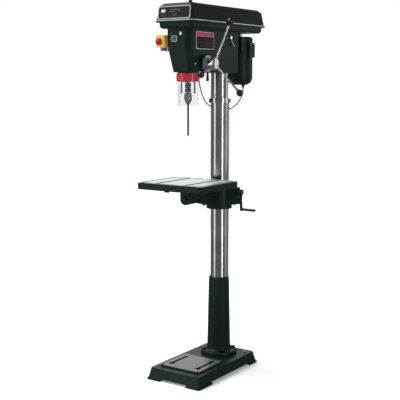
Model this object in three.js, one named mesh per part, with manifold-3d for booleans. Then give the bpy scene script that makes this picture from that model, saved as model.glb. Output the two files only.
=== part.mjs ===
// Floor-standing belt-drive drill press. Millimetres, +Z up, the operator stands on the -Y side.
// Sizes are measured from the column's axis and the floor, and the finished group is
// moved at the end so that its origin is the bottom centre of its bounding box.
import * as THREE from "three";
import { mergeVertices } from "three/addons/utils/BufferGeometryUtils.js";
import Module from "manifold-3d";

const wasm = await Module();
wasm.setup();

// ---- Driving dimensions ----

const gap = 0.3; // between pieces that touch, slide or turn in each other
const spindleY = -252; // the throat: spindle axis to column axis

const base = {
  halfWidth: 144.5,
  front: -379,
  rear: 120,
  height: 54,
  lipHeight: 8,
  lipStep: 4,
  taper: 10,
  corner: 10,
  wall: 14,
  plate: 18,
  archHeight: 11,
  frontFoot: 107,
  rearFoot: 67,
  archHalf: 72,
};
const pad = { halfWidth: 106, front: -326, rear: -130, rise: 8, corner: 10 };
const padSlot = { x: 72, width: 14, front: -282, rear: -156, mouth: 26 };
const baseBolt = { circle: 71, shank: 5, head: 9, headHeight: 8, depth: 12 };
const sleeve = { flange: 85, flangeHeight: 20, skirt: 54.5, skirtHeight: 44, top: 47, height: 372 };
const column = { radius: 40, wall: 5, seat: 6 };
const tableLock = { y: -196, z: 806, boss: 8, pin: 4, length: 36, lean: 48 };
const rack = { width: 20, thickness: 10, toothModule: 3 };
const collar = { bottom: 1241, height: 21, outer: 47, ear: 14 };

const head = {
  bottom: 1377,
  shoulder: 1490,
  top: 1562,
  halfWidth: 66,
  front: -330,
  rear: 70,
  chin: -300,
  wall: 9,
  columnDepth: 123,
};
const quill = { radius: 31, bottom: 1335, length: 185, travel: 80, toothModule: 2 };
const spindle = { radius: 12, noseTop: 1334, top: 1642 };
const chuck = { top: 1291, bottom: 1242, radius: 15.5, sleeveRadius: 17.3 };
const drill = { radius: 4.2, tip: 1100 };
const guard = { inner: 45.5, wall: 1.8, bottom: 1233, top: 1345, slide: 25, hinge: 57, pin: 2, barrel: 4.5 };
const guardBand = { z0: 1337, z1: 1373, inner: guard.inner + guard.wall + 0.5, thickness: 2.4 };
const guardPost = { x: 35, radius: 3.5, length: 51 };
const guardArc = { from: -190, to: 36 }; // degrees from +X, open at the back
const feed = { y: -211, z: 1415, teeth: 12, shaft: 9.5, hubEnd: 120, disc: 28.5, armAngle: 75.5 };
const feedArm = { radius: 5, start: 14, reach: 183, hubX: 112, knobX: 160, knob: 15.5 };
const gearHalf = 15; // half the feed pinion's face width
const depthRing = { radius: 37, thickness: 8 };

const tray = { halfWidth: 100, front: -361, rear: 248, inset: 12, corner: 16, wall: 3, rim: 5 };
const lid = { bottom: 1593.3, shoulder: 1656, top: 1671, inset: 12, bevel: 14, wall: 3 };
const lidKnob = { radius: 8, height: 8, x: 58, y: -316 };
const lidHinge = { x: -103.7, pin: 2.5, barrel: 5, length: 34 };

const pulley = { bottom: 1577, stepHeight: 15, belt: 6, hub: 20, spindleSteps: [70, 57, 44] };
const idler = { y: -42, steps: [38, 51, 64], post: 7, armPivot: 48, armBack: 24 };
const idlerPin = { radius: 5, depth: 18, boss: 11 };
const motor = { y: 175, radius: 61, bottom: 1325, top: 1546, steps: [52, 39, 26], shaft: 9, shaftDepth: 40 };
const motorRod = { radius: 6, x: 40, z: 1533 };
const leverPivot = { radius: 5, y: -17, z: 1534, length: 44, lean: 36, rod: 3.4, ball: 6 };

const table = { halfWidth: 172, front: -403, rear: -105, top: 898, depth: 30, corner: 14, wall: 12 };
const tableGroove = { x: 75, halfWidth: 8, depth: 6, end: 15 };
const tableChannel = { outer: 9, inner: 20, depth: 4 };
const tilt = { z: 820, radius: 25, front: -279, seam: -214 };
const bracket = { bottom: 752, top: 862, outer: 60, armHalf: 24 };
const crank = { z: 833, shaft: 6, hubX: 112, radius: 79, gripLength: 74, grip: 6 };
const liftTeeth = 10;

const switchBox = { left: -108, front: -340, face: -312, rear: -240, bottom: 1467, top: 1536 };
const coverBottom = switchBox.bottom + 17;
const bezel = { width: 35, height: 31, depth: 4 };
const startButton = { x: -15, z: 1519, width: 22, height: 19, depth: 8, travel: 3 };

// ---- Finishes ----

const paint = () => new THREE.MeshStandardMaterial({ color: 0x16211f, roughness: 0.45, metalness: 0.2 });
const charcoal = () => new THREE.MeshStandardMaterial({ color: 0x262b2d, roughness: 0.5, metalness: 0.1 });
const steel = () => new THREE.MeshStandardMaterial({ color: 0xb9bdc0, roughness: 0.3, metalness: 1 });
const chrome = () => new THREE.MeshStandardMaterial({ color: 0xd6d9dc, roughness: 0.12, metalness: 1 });
const blackPlastic = () => new THREE.MeshStandardMaterial({ color: 0x101112, roughness: 0.35, metalness: 0 });
const redPlastic = () => new THREE.MeshStandardMaterial({ color: 0xb32838, roughness: 0.4, metalness: 0 });
const yellow = () => new THREE.MeshStandardMaterial({ color: 0xf0c050, roughness: 0.45, metalness: 0 });
const green = () => new THREE.MeshStandardMaterial({ color: 0x0a5a46, roughness: 0.4, metalness: 0 });
const mint = () => new THREE.MeshStandardMaterial({ color: 0xb0c8be, roughness: 0.45, metalness: 0 });
const grey = () => new THREE.MeshStandardMaterial({ color: 0xc9cdd0, roughness: 0.5, metalness: 0 });
const rubber = () => new THREE.MeshStandardMaterial({ color: 0x1b1b1c, roughness: 0.8, metalness: 0 });
const clear = () =>
  new THREE.MeshStandardMaterial({ color: 0xe8f0f0, roughness: 0.1, transparent: true, opacity: 0.3 });
const aluminium = () => new THREE.MeshStandardMaterial({ color: 0xaeb2b5, roughness: 0.4, metalness: 1 });

// ---- Shape helpers ----

// A closed geometry as a solid that can be cut and joined.
function solid(geometry) {
  const bare = geometry.index ? geometry.toNonIndexed() : geometry.clone();
  bare.deleteAttribute("normal");
  bare.deleteAttribute("uv");
  const merged = mergeVertices(bare, 1e-4);
  return new wasm.Manifold(
    new wasm.Mesh({
      numProp: 3,
      vertProperties: new Float32Array(merged.attributes.position.array),
      triVerts: new Uint32Array(merged.index.array),
    }),
  );
}

const join = (first, ...others) => others.reduce((whole, other) => whole.add(other), first);
const cut = (first, ...tools) => tools.reduce((rest, tool) => rest.subtract(tool), first);

// A named mesh from a solid or a geometry.
function piece(name, shape, material) {
  let geometry = shape;
  if (!shape.isBufferGeometry) {
    const made = shape.getMesh();
    geometry = new THREE.BufferGeometry();
    geometry.setAttribute("position", new THREE.BufferAttribute(new Float32Array(made.vertProperties), 3));
    geometry.setIndex(new THREE.BufferAttribute(new Uint32Array(made.triVerts), 1));
    geometry.computeVertexNormals();
  }
  const mesh = new THREE.Mesh(geometry, material);
  mesh.name = name;
  return mesh;
}

function box(x0, x1, y0, y1, z0, z1) {
  const geometry = new THREE.BoxGeometry(x1 - x0, y1 - y0, z1 - z0);
  return solid(geometry.translate((x0 + x1) / 2, (y0 + y1) / 2, (z0 + z1) / 2));
}

// A profile of [radius, height] points turned about +Z, from its lowest point up.
function turned(profile, segments = 20) {
  const points = profile.map(([radius, height]) => new THREE.Vector2(radius, height));
  return new THREE.LatheGeometry(points, segments).rotateX(Math.PI / 2);
}

// A turned ring or tube: outer radius, inner radius and two heights.
function ring(outer, inner, z0, z1, segments = 24) {
  const profile = [[inner, z0], [outer, z0], [outer, z1], [inner, z1], [inner, z0]];
  return turned(profile, segments);
}

function disc(radius, z0, z1, segments = 20) {
  const profile = [[0, z0], [radius, z0], [radius, z1], [0, z1]];
  return turned(profile, segments);
}

// Turns a shape made about +Z so that its axis lies along +X or +Y, then moves it.
const alongX = (geometry, x, y, z) => geometry.rotateY(Math.PI / 2).translate(x, y, z);
const alongY = (geometry, x, y, z) => geometry.rotateX(-Math.PI / 2).translate(x, y, z);
const rodX = (radius, x0, x1, y, z, sides = 16) => solid(alongX(disc(radius, x0, x1, sides), 0, y, z));
const rodY = (radius, y0, y1, x, z, sides = 16) => solid(alongY(disc(radius, y0, y1, sides), x, 0, z));
const rodZ = (radius, z0, z1, x, y, sides = 16) => solid(disc(radius, z0, z1, sides).translate(x, y, 0));

// The points of a rectangle with round corners at one height.
function roundedLoop(x0, x1, y0, y1, radius, z, steps = 3) {
  const corners = [
    [x1 - radius, y0 + radius, -90],
    [x1 - radius, y1 - radius, 0],
    [x0 + radius, y1 - radius, 90],
    [x0 + radius, y0 + radius, 180],
  ];
  return corners.flatMap(([x, y, start]) =>
    Array.from({ length: steps + 1 }, (_, i) => {
      const angle = THREE.MathUtils.degToRad(start + (90 * i) / steps);
      return [x + radius * Math.cos(angle), y + radius * Math.sin(angle), z];
    }),
  );
}

// A solid through loops of the same number of points, from the lowest up, each one convex.
function loft(loops) {
  const count = loops[0].length;
  const index = [];
  for (let level = 0; level < loops.length - 1; level++) {
    for (let i = 0; i < count; i++) {
      const a = level * count + i;
      const b = level * count + ((i + 1) % count);
      index.push(a, b, b + count, a, b + count, a + count);
    }
  }
  const last = (loops.length - 1) * count;
  for (let i = 1; i < count - 1; i++) {
    index.push(0, i + 1, i);
    index.push(last, last + i, last + i + 1);
  }
  const geometry = new THREE.BufferGeometry();
  geometry.setAttribute("position", new THREE.BufferAttribute(new Float32Array(loops.flat(2)), 3));
  geometry.setIndex(index);
  return solid(geometry);
}

// An outline in X and Y raised from z0 to z1.
function raised(points, z0, z1) {
  const shape = new THREE.Shape(points.map(([x, y]) => new THREE.Vector2(x, y)));
  return new THREE.ExtrudeGeometry(shape, { depth: z1 - z0, bevelEnabled: false }).translate(0, 0, z0);
}

const polar = (radius, degrees) => {
  const angle = THREE.MathUtils.degToRad(degrees);
  return [radius * Math.cos(angle), radius * Math.sin(angle)];
};

// A C-shaped wall about +Z between two angles, counted from +X.
function arcWall(inner, outer, from, to, z0, z1, steps = 16) {
  const angles = Array.from({ length: steps + 1 }, (_, i) => from + ((to - from) * i) / steps);
  const outline = [...angles.map((a) => polar(outer, a)), ...angles.reverse().map((a) => polar(inner, a))];
  return raised(outline, z0, z1);
}

// ---- Gear teeth ----

const toothWidth = 0.4; // share of the pitch, so that meshing teeth keep a little backlash
const addendum = 0.75;
const dedendum = 1.05;
const flank = Math.tan(THREE.MathUtils.degToRad(20));

// The outline of a spur gear with straight-sided teeth, one tooth pointing along `start` degrees.
function gearOutline(teeth, module, start) {
  const radius = (teeth * module) / 2;
  const half = (toothWidth * Math.PI * module) / 2;
  const tip = [radius + addendum * module, half - addendum * module * flank];
  const root = [radius - dedendum * module, half * 0.95];
  const corner = ([distance, side], centre) =>
    polar(distance, centre + THREE.MathUtils.radToDeg(side / distance));
  return Array.from({ length: teeth }, (_, i) => {
    const centre = start + (360 * i) / teeth;
    const [rootRadius, rootSide] = root;
    const [tipRadius, tipSide] = tip;
    return [
      corner([rootRadius, -rootSide], centre),
      corner([tipRadius, -tipSide], centre),
      corner([tipRadius, tipSide], centre),
      corner([rootRadius, rootSide], centre),
    ];
  }).flat();
}

// A tooth gap of a rack: its half-widths at the pitch line are the pitch less one tooth.
function rackGap(module) {
  const pitch = Math.PI * module;
  const half = ((1 - toothWidth) * pitch) / 2;
  return { mouth: half + addendum * module * flank, floor: half - dedendum * module * flank };
}

// ---- Base, sleeve and column ----

function makeBase() {
  const { halfWidth, front, rear, height, lipHeight, lipStep, taper, corner, wall, plate } = base;
  const outline = (inset, z) =>
    roundedLoop(-halfWidth + inset, halfWidth - inset, front + inset, rear - inset, corner, z);
  const body = loft([
    outline(0, 0),
    outline(0, lipHeight),
    outline(lipStep, lipHeight + 1),
    outline(lipStep + taper, height),
  ]);
  const padLoop = (step, z) =>
    roundedLoop(-pad.halfWidth + step, pad.halfWidth - step, pad.front + step, pad.rear - step, pad.corner, z);
  const padTop = height + pad.rise;
  const padBody = loft([padLoop(0, height - 2), padLoop(0, padTop - 2), padLoop(2, padTop)]);
  const inside = wall + taper;
  const hollowHalf = halfWidth - inside;
  const hollow = box(-hollowHalf, hollowHalf, front + inside, rear - inside, -1, height - plate);
  const { archHeight, archHalf, frontFoot, rearFoot } = base;
  const sideArch = box(-halfWidth - 1, halfWidth + 1, front + frontFoot, rear - rearFoot, -1, archHeight);
  const frontArch = box(-archHalf, archHalf, front - 1, rear + 1, -1, archHeight);
  const [slotBottom, slotTop] = [height - plate - 1, padTop + 1];
  const slots = [-1, 1].map((side) => {
    const x = side * padSlot.x;
    const half = padSlot.width / 2;
    const slot = box(x - half, x + half, padSlot.front, padSlot.rear, slotBottom, slotTop);
    const mouth = rodZ(padSlot.mouth / 2, slotBottom, slotTop, x, padSlot.front);
    return slot.add(mouth);
  });
  const boltHole = baseBolt.shank + gap;
  const holes = boltPlaces().map(([x, y]) => rodZ(boltHole, slotBottom, height + 1, x, y, 12));
  return cut(join(body, padBody), hollow, sideArch, frontArch, ...slots, ...holes);
}

const boltPlaces = () => [45, 135, 225, 315].map((angle) => polar(baseBolt.circle, angle));
const sleeveFoot = base.height + gap;
const sleeveTop = sleeveFoot + sleeve.height;

function makeSleeve() {
  const { flange, flangeHeight, skirt, skirtHeight, top } = sleeve;
  const bore = column.radius + gap;
  const body = turned(
    [
      [bore, sleeveFoot],
      [flange, sleeveFoot],
      [flange, sleeveFoot + flangeHeight - 4],
      [flange - 4, sleeveFoot + flangeHeight],
      [skirt + 6, sleeveFoot + flangeHeight],
      [skirt, sleeveFoot + skirtHeight],
      [top + 1, sleeveTop - 14],
      [top, sleeveTop - 10],
      [top, sleeveTop],
      [bore, sleeveTop],
      [bore, sleeveFoot],
    ],
    32,
  );
  const seatTop = sleeveFoot + flangeHeight;
  const boltHole = baseBolt.shank + gap;
  const holes = boltPlaces().map(([x, y]) => rodZ(boltHole, sleeveFoot - 1, seatTop + 1, x, y, 12));
  return cut(solid(body), ...holes);
}

function makeBaseBolts(parent) {
  const seat = sleeveFoot + sleeve.flangeHeight + gap;
  boltPlaces().forEach(([x, y], i) => {
    const hex = disc(baseBolt.head, seat, seat + baseBolt.headHeight, 6);
    const shank = disc(baseBolt.shank, base.height - baseBolt.depth, seat + 1, 12);
    const bolt = piece(`base_bolt_${i + 1}`, solid(hex).add(solid(shank)), steel());
    bolt.position.set(x, y, 0);
    parent.add(bolt);
  });
}

const columnBottom = base.height + column.seat;
const columnTop = head.bottom + head.columnDepth;
const makeColumn = () => ring(column.radius, column.radius - column.wall, columnBottom, columnTop, 32);

// ---- Rack and its collar ----

const rackBack = column.radius + gap;
const rackTip = rackBack + rack.thickness;
const rackPitchX = rackTip - addendum * rack.toothModule;
const liftPitch = Math.PI * rack.toothModule;
const liftRadius = (liftTeeth * rack.toothModule) / 2;
const liftPinion = {
  x: rackPitchX + liftRadius,
  z: crank.z - liftRadius - addendum * rack.toothModule - crank.shaft - gap,
};

function makeRack() {
  const { mouth, floor } = rackGap(rack.toothModule);
  const root = rackPitchX - dedendum * rack.toothModule;
  const z0 = sleeveTop + gap;
  const z1 = collar.bottom - gap;
  const outline = [[rackBack, z0], [rackTip, z0]];
  const first = Math.ceil((z0 - liftPinion.z + liftPitch / 2) / liftPitch);
  const last = Math.floor((z1 - liftPinion.z - liftPitch / 2) / liftPitch);
  for (let i = first; i <= last; i++) {
    const z = liftPinion.z + i * liftPitch;
    outline.push([rackTip, z - mouth], [root, z - floor], [root, z + floor], [rackTip, z + mouth]);
  }
  outline.push([rackTip, z1], [rackBack, z1]);
  const bar = raised(outline, -rack.width / 2, rack.width / 2);
  return bar.rotateX(Math.PI / 2);
}

function makeCollar() {
  const { bottom, height, outer, ear } = collar;
  const top = bottom + height;
  const band = solid(ring(outer, column.radius + gap, bottom, top, 32));
  const cover = box(outer - 12, rackTip + 4, -rack.width / 2 - 3, rack.width / 2 + 3, bottom, top);
  const boss = box(-outer - 6, -outer + 4, -ear / 2, ear / 2, bottom + 3, top - 3);
  return cut(join(band, cover, boss), solid(disc(column.radius + gap, bottom - 1, top + 1, 32)));
}

// ---- Head casting ----

// One level of the head: half-width at the front corners, the front face and the rear wall.
function headLoop(inset, halfWidth, front, nose, z) {
  const rearHalf = head.halfWidth - 4 - inset;
  const half = halfWidth - inset;
  const y0 = front + inset;
  const y1 = head.rear - inset;
  return [
    [nose - inset / 2, y0, z],
    [half, y0 + 19, z],
    [half, y0 + 90, z],
    [rearHalf, y1 - 10, z],
    [rearHalf - 10, y1, z],
    [-rearHalf + 10, y1, z],
    [-rearHalf, y1 - 10, z],
    [-half, y0 + 90, z],
    [-half, y0 + 19, z],
    [-nose + inset / 2, y0, z],
  ];
}

const quillTop = quill.bottom + quill.length;
const bearingSeat = quillTop + 22;
const feedPitch = (feed.teeth * quill.toothModule) / 2;

function makeHead() {
  const { bottom, shoulder, top, wall, front, chin, halfWidth } = head;
  const outer = loft([
    headLoop(0, halfWidth - 14, chin - 4, 34, bottom),
    headLoop(0, halfWidth - 12, chin - 6, 36, bottom + 5),
    headLoop(0, halfWidth, front, 38, shoulder),
    headLoop(0, halfWidth, front, 38, top),
  ]);
  const inner = loft([
    headLoop(wall, halfWidth - 8, chin - 8, 34, bottom + wall + 4),
    headLoop(wall, halfWidth, front, 38, shoulder),
    headLoop(wall, halfWidth, front, 38, top + 1),
  ]);
  const quillBore = quill.radius + gap;
  const shaftBore = feed.shaft + gap;
  const columnBore = column.radius + gap;
  const pillars = join(
    rodZ(quillBore + 9, bottom + 4, top, 0, spindleY, 24),
    rodZ(columnBore + 9, bottom + 4, columnTop + 8, 0, 0, 32),
    rodX(feedPitch + 9, -halfWidth + 3, halfWidth - 3, feed.y, feed.z),
    rodZ(idlerPin.boss, top - idlerPin.depth - 12, top, idler.armPivot, idler.y + idler.armBack),
  );
  const shell = cut(outer, inner);
  const trunk = shell.add(pillars.intersect(outer));
  const pocket = startButton;
  const rodHole = (side) =>
    rodY(motorRod.radius + gap, head.rear - 30, head.rear + 1, side * motorRod.x, motorRod.z);
  const pinTop = [idler.armPivot, idler.y + idler.armBack];
  return cut(
    trunk,
    rodZ(quillBore, bottom - 1, bearingSeat, 0, spindleY, 24),
    rodZ(pulley.hub + gap, bearingSeat - 1, top + 1, 0, spindleY, 24),
    rodZ(columnBore, bottom - 1, columnTop + gap, 0, 0, 32),
    rodX(shaftBore, -halfWidth - 20, halfWidth + 20, feed.y, feed.z),
    rodX(feedPitch + quill.toothModule + 1, -gearHalf - 2, gearHalf + 2, feed.y, feed.z),
    rodZ(columnBore - 8, columnTop - 1, top + 1, 0, 0),
    box(
      pocket.x - pocket.width / 2 - gap,
      pocket.x + pocket.width / 2 + gap,
      front - 1,
      front + wall + 1,
      pocket.z - pocket.height / 2 - gap,
      pocket.z + pocket.height / 2 + gap,
    ),
    rodHole(-1),
    rodHole(1),
    rodX(leverPivot.radius + gap, halfWidth - 20, halfWidth + 5, leverPivot.y, leverPivot.z, 12),
    rodZ(idlerPin.radius + gap, top - idlerPin.depth - 2, top + 1, ...pinTop, 12),
  );
}

// ---- Quill, spindle and chuck ----

function makeQuill() {
  const module = quill.toothModule;
  const { mouth, floor } = rackGap(module);
  const pitchY = feed.y - feedPitch;
  const tipY = pitchY + addendum * module;
  const rootY = pitchY - dedendum * module;
  const sleeveRing = ring(quill.radius, spindle.radius + gap, quill.bottom, quillTop, 24);
  const tube = solid(sleeveRing.translate(0, spindleY, 0));
  const flat = box(-quill.radius, quill.radius, tipY, feed.y + quill.radius, feed.z - 30, quillTop + 1);
  const pitch = Math.PI * module;
  const gaps = [];
  for (let i = -3; feed.z + i * pitch < quillTop - pitch; i++) {
    const z = feed.z + i * pitch;
    const outline = [
      [z - floor, -rootY],
      [z + floor, -rootY],
      [z + mouth, -tipY - 1],
      [z - mouth, -tipY - 1],
    ];
    const notch = raised(outline, -quill.radius, quill.radius);
    gaps.push(solid(notch.applyMatrix4(notchTurn)));
  }
  return cut(tube, flat, ...gaps);
}

// Takes an outline of [height, -y] raised along +Z to one raised along +X.
const notchTurn = new THREE.Matrix4().makeBasis(
  new THREE.Vector3(0, 0, 1),
  new THREE.Vector3(0, -1, 0),
  new THREE.Vector3(1, 0, 0),
);

function makeSpindle() {
  const { radius, noseTop, top } = spindle;
  const profile = [
    [0, chuck.top],
    [9, chuck.top],
    [13.5, chuck.top + 3],
    [14, chuck.top + 9],
    [13, chuck.top + 14],
    [9.5, chuck.top + 17],
    [9.5, chuck.top + 19],
    [13.5, chuck.top + 22],
    [14, chuck.top + 29],
    [13, chuck.top + 34],
    [radius, noseTop - 4],
    [radius, top],
    [0, top],
  ];
  return turned(profile, 20).translate(0, spindleY, 0);
}

function makeChuckBody() {
  const { top, bottom, radius } = chuck;
  const high = top - gap;
  const groove = radius - 1.5;
  const profile = [
    [drill.radius + gap, bottom + 6],
    [9.5, bottom],
    [radius, bottom + 13],
    [groove, bottom + 14],
    [groove, high - 8],
    [radius, high - 7],
    [radius, high - 3],
    [radius - 3, high],
    [drill.radius + gap, high],
    [drill.radius + gap, bottom + 6],
  ];
  return turned(profile, 20).translate(0, spindleY, 0);
}

function makeChuckSleeve() {
  const inner = chuck.radius - 1.5 + gap;
  const low = chuck.bottom + 14 + gap;
  const high = chuck.top - 8 - 2 * gap;
  const profile = [
    [inner, low],
    [chuck.sleeveRadius - 1, low],
    [chuck.sleeveRadius, low + 2],
    [chuck.sleeveRadius, high - 2],
    [chuck.sleeveRadius - 1, high],
    [inner, high],
    [inner, low],
  ];
  return turned(profile, 20).translate(0, spindleY, 0);
}

function makeChuckJaws() {
  const { bottom } = chuck;
  const inner = drill.radius + gap;
  const profile = [
    [inner, bottom - 5],
    [inner + 1.5, bottom - 5],
    [8.5, bottom - 0.8],
    [inner, bottom + 4.4],
    [inner, bottom - 5],
  ];
  return turned(profile, 12).translate(0, spindleY, 0);
}

function makeDrill() {
  const { radius, tip } = drill;
  const profile = [[0, tip], [radius, tip + radius * 0.6], [radius, chuck.top - 10], [0, chuck.top - 10]];
  return turned(profile, 12).translate(0, spindleY, 0);
}

// ---- Chuck guard ----

function makeGuardCollar() {
  const { z0, z1 } = guardBand;
  const outer = guard.inner - 6;
  const ringPart = solid(ring(outer, quill.radius + gap, z0 + 2, z1 - 2));
  const lug = box(-guard.hinge - 3, -outer + 2, -5, 5, z0 + 13, z1 - 13);
  const pin = rodZ(guard.pin, z0, z1, -guard.hinge, 0, 12);
  const { x, radius, length } = guardPost;
  const posts = [-x, x].map((postX) => rodZ(radius, z0 - length, z0 + 3, postX, 0, 12));
  return join(ringPart, lug, pin, ...posts).translate([0, spindleY, 0]);
}

function makeGuardFrame() {
  const { z0, z1, inner, thickness } = guardBand;
  const band = solid(arcWall(inner, inner + thickness, guardArc.from, guardArc.to, z0, z1));
  const barrel = rodZ(guard.barrel, z0, z1, -guard.hinge, 0, 16);
  const link = box(-guard.hinge, -inner - 1, -3, 3, z0, z1);
  const lugRoom = box(-guard.hinge - 8, -inner + 6, -9, 9, z0 + 13 - gap, z1 - 13 + gap);
  const pinHole = rodZ(guard.pin + gap, z0 - 1, z1 + 1, -guard.hinge, 0, 12);
  return cut(join(band, barrel, link), lugRoom, pinHole).translate([0, spindleY, 0]);
}

function makeGuardShield() {
  const { inner, wall, bottom, top, slide } = guard;
  const tube = solid(arcWall(inner, inner + wall, guardArc.from, guardArc.to, bottom, top));
  const notch = box(-inner - 6, -inner + 8, -14, 14, guardBand.z0 + 13 - slide - 1, top + 1);
  return cut(tube, notch).translate([0, spindleY, 0]);
}

// ---- Feed: pinion shaft, hub, arms and depth ring ----

function makeFeedShaft() {
  const gear = solid(raised(gearOutline(feed.teeth, quill.toothModule, -90), -gearHalf, gearHalf));
  const shaft = solid(disc(feed.shaft, -head.halfWidth - 20, feed.hubEnd - 22, 20));
  return shaft.add(gear);
}

const armTilt = Math.atan2(feedArm.knobX - feedArm.hubX, feedArm.reach);
const armLength = Math.hypot(feedArm.knobX - feedArm.hubX, feedArm.reach);

// Where an arm points: a group whose +Z runs out along it, from the hub's middle.
function armFrame(index) {
  const turn = new THREE.Group();
  turn.position.set(feedArm.hubX, feed.y, feed.z);
  turn.rotation.x = THREE.MathUtils.degToRad(feed.armAngle + 120 * index - 90);
  const lean = new THREE.Group();
  lean.rotation.y = armTilt;
  turn.add(lean);
  return { turn, lean };
}

function makeHub() {
  const { hubEnd, disc: discRadius, shaft } = feed;
  const start = head.halfWidth + 1.5;
  const profile = [
    [shaft + gap, start],
    [24, start],
    [24, hubEnd - 17],
    [discRadius - 1, hubEnd - 16],
    [discRadius, hubEnd - 14],
    [discRadius, hubEnd - 3],
    [discRadius - 6, hubEnd],
    [0, hubEnd + 1],
    [0, hubEnd - 21],
    [shaft + gap, hubEnd - 21],
    [shaft + gap, start],
  ];
  let hub = solid(alongX(turned(profile, 24), 0, feed.y, feed.z));
  for (let i = 0; i < 3; i++) {
    const { turn, lean } = armFrame(i);
    turn.updateMatrixWorld(true);
    const socket = disc(feedArm.radius + gap, feedArm.start - gap, 60, 12).applyMatrix4(lean.matrixWorld);
    hub = hub.subtract(solid(socket));
  }
  return hub;
}

function makeArm(index) {
  const { turn, lean } = armFrame(index);
  const { radius, start, knob } = feedArm;
  const rod = piece(`feed_arm_${index + 1}`, disc(radius, start, armLength - 6, 12), chrome());
  const hole = radius + gap;
  const low = armLength - knob - 3;
  const ball = Array.from({ length: 7 }, (_, i) => {
    const angle = THREE.MathUtils.degToRad(-58 + (148 * i) / 6);
    return [i < 6 ? knob * Math.cos(angle) : 0, armLength + knob * Math.sin(angle)];
  });
  const profile = [[0, armLength - 5.5], [hole, armLength - 5.5], [hole, low], [8.2, low], ...ball];
  lean.add(rod, piece(`feed_knob_${index + 1}`, turned(profile, 14), blackPlastic()));
  return turn;
}

function makeDepthRing() {
  const start = head.halfWidth + 5;
  const body = ring(depthRing.radius, 24 + gap, start, start + depthRing.thickness, 28);
  return alongX(body, 0, feed.y, feed.z);
}

function makeDepthLock() {
  const x = head.halfWidth + 5 + depthRing.thickness / 2;
  const top = feed.z - depthRing.radius - gap;
  const profile = [[0, top - 39], [6.5, top - 39], [7, top - 36], [4.5, top - 4], [3, top], [0, top]];
  return turned(profile, 10).translate(x, feed.y, 0);
}

function makeSpringCup() {
  const wallX = -head.halfWidth - gap;
  const cup = alongX(ring(32, feed.shaft + gap, wallX - 22, wallX), 0, feed.y, feed.z);
  return solid(cup);
}

// ---- Belt cover ----

const trayTop = lid.bottom - gap;

function makeTray() {
  const { halfWidth, front, rear, inset, corner, wall, rim } = tray;
  const floor = head.top + gap;
  const loop = (step, z, radius = corner) =>
    roundedLoop(-halfWidth + step, halfWidth - step, front + step, rear - step, radius, z);
  const outer = loft([
    loop(inset + 7, floor),
    loop(inset + 1, floor + 7),
    loop(inset, floor + 12),
    loop(inset, trayTop),
  ]);
  const flangeLoop = loft([loop(0, trayTop - rim), loop(0, trayTop)]);
  const inner = loft([
    loop(inset + 7 + wall, floor + wall),
    loop(inset + wall, floor + 13),
    loop(inset + wall, trayTop + 1),
  ]);
  const openings = [
    rodZ(22, floor - 1, floor + wall + 1, 0, spindleY),
    box(-22, 22, motor.y - 30, motor.y + 22, floor - 1, floor + wall + 1),
    rodZ(idlerPin.radius + 8, floor - 1, floor + wall + 1, idler.armPivot, idler.y + idler.armBack),
  ];
  const shell = cut(join(outer, flangeLoop), inner, ...openings);
  return withBarrels(shell, trayTop + gap / 2, [0, 2], [1]);
}

// Hinge barrels along the left edge: those in `own` belong to this piece, and `other` get room.
function withBarrels(shell, z, own, other) {
  const { x, pin, barrel, length } = lidHinge;
  const spot = (i) => -150 + i * length;
  const barrels = own.map((i) => rodY(barrel, spot(i) + gap / 2, spot(i + 1) - gap / 2, x, z, 12));
  const rooms = other.map((i) => rodY(barrel + gap, spot(i) - gap, spot(i + 1) + gap, x, z, 12));
  const hole = rodY(pin + gap, spot(0) - 5, spot(3) + 5, x, z, 10);
  return cut(join(cut(shell, ...rooms), ...barrels), hole);
}

function makeLid() {
  const { halfWidth, front, rear, corner } = tray;
  const { bottom, shoulder, top, inset, bevel, wall } = lid;
  const loop = (step, z) =>
    roundedLoop(-halfWidth + step, halfWidth - step, front + step, rear - step, corner, z);
  const outer = loft([
    loop(0, bottom),
    loop(0, bottom + 4),
    loop(3, bottom + 4.5),
    loop(inset, shoulder),
    loop(inset + bevel, top - 3),
    loop(inset + bevel + 30, top),
  ]);
  const inner = loft([
    loop(wall + 3, bottom - 1),
    loop(wall + 3, bottom + 4),
    loop(inset + wall, shoulder - 1),
    loop(inset + bevel + wall, top - 3 - wall),
    loop(inset + bevel + 30, top - wall),
  ]);
  const knobSeat = rodZ(lidKnob.radius + 2, top - 4, top, lidKnob.x, lidKnob.y);
  return withBarrels(outer.subtract(inner).add(knobSeat), bottom - gap / 2, [1], [0, 2]);
}

// A small knob on the lid's crown, near its front right corner.
function makeLidKnob() {
  const { radius, height, x, y } = lidKnob;
  const seat = lid.top + gap;
  const profile = [
    [0, seat],
    [radius - 2, seat],
    [radius, seat + 3],
    [radius, seat + height - 2],
    [radius - 2, seat + height],
    [0, seat + height],
  ];
  return turned(profile, 14).translate(x, y, 0);
}

function makeLidPin() {
  const { x, pin, length } = lidHinge;
  return rodY(pin, -154, -150 + 3 * length + 4, x, lid.bottom - gap / 2, 10);
}

// ---- Pulleys and belts ----

// A stack of V-grooved steps from the bottom up, with a bore and a hub below.
function makePulley(steps, bore, hubRadius, hubBottom) {
  const { bottom, stepHeight, belt } = pulley;
  const outline = [[bore, hubBottom], [hubRadius, hubBottom], [hubRadius, bottom]];
  steps.forEach((radius, i) => {
    const z = bottom + i * stepHeight;
    const floor = radius - belt - 1;
    outline.push([radius, z], [radius, z + 2], [floor, z + 4.5], [floor, z + 10.5], [radius, z + 13]);
  });
  const top = bottom + steps.length * stepHeight - 2;
  outline.push([bore, top], [bore, hubBottom]);
  return turned(outline, 16);
}

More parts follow.
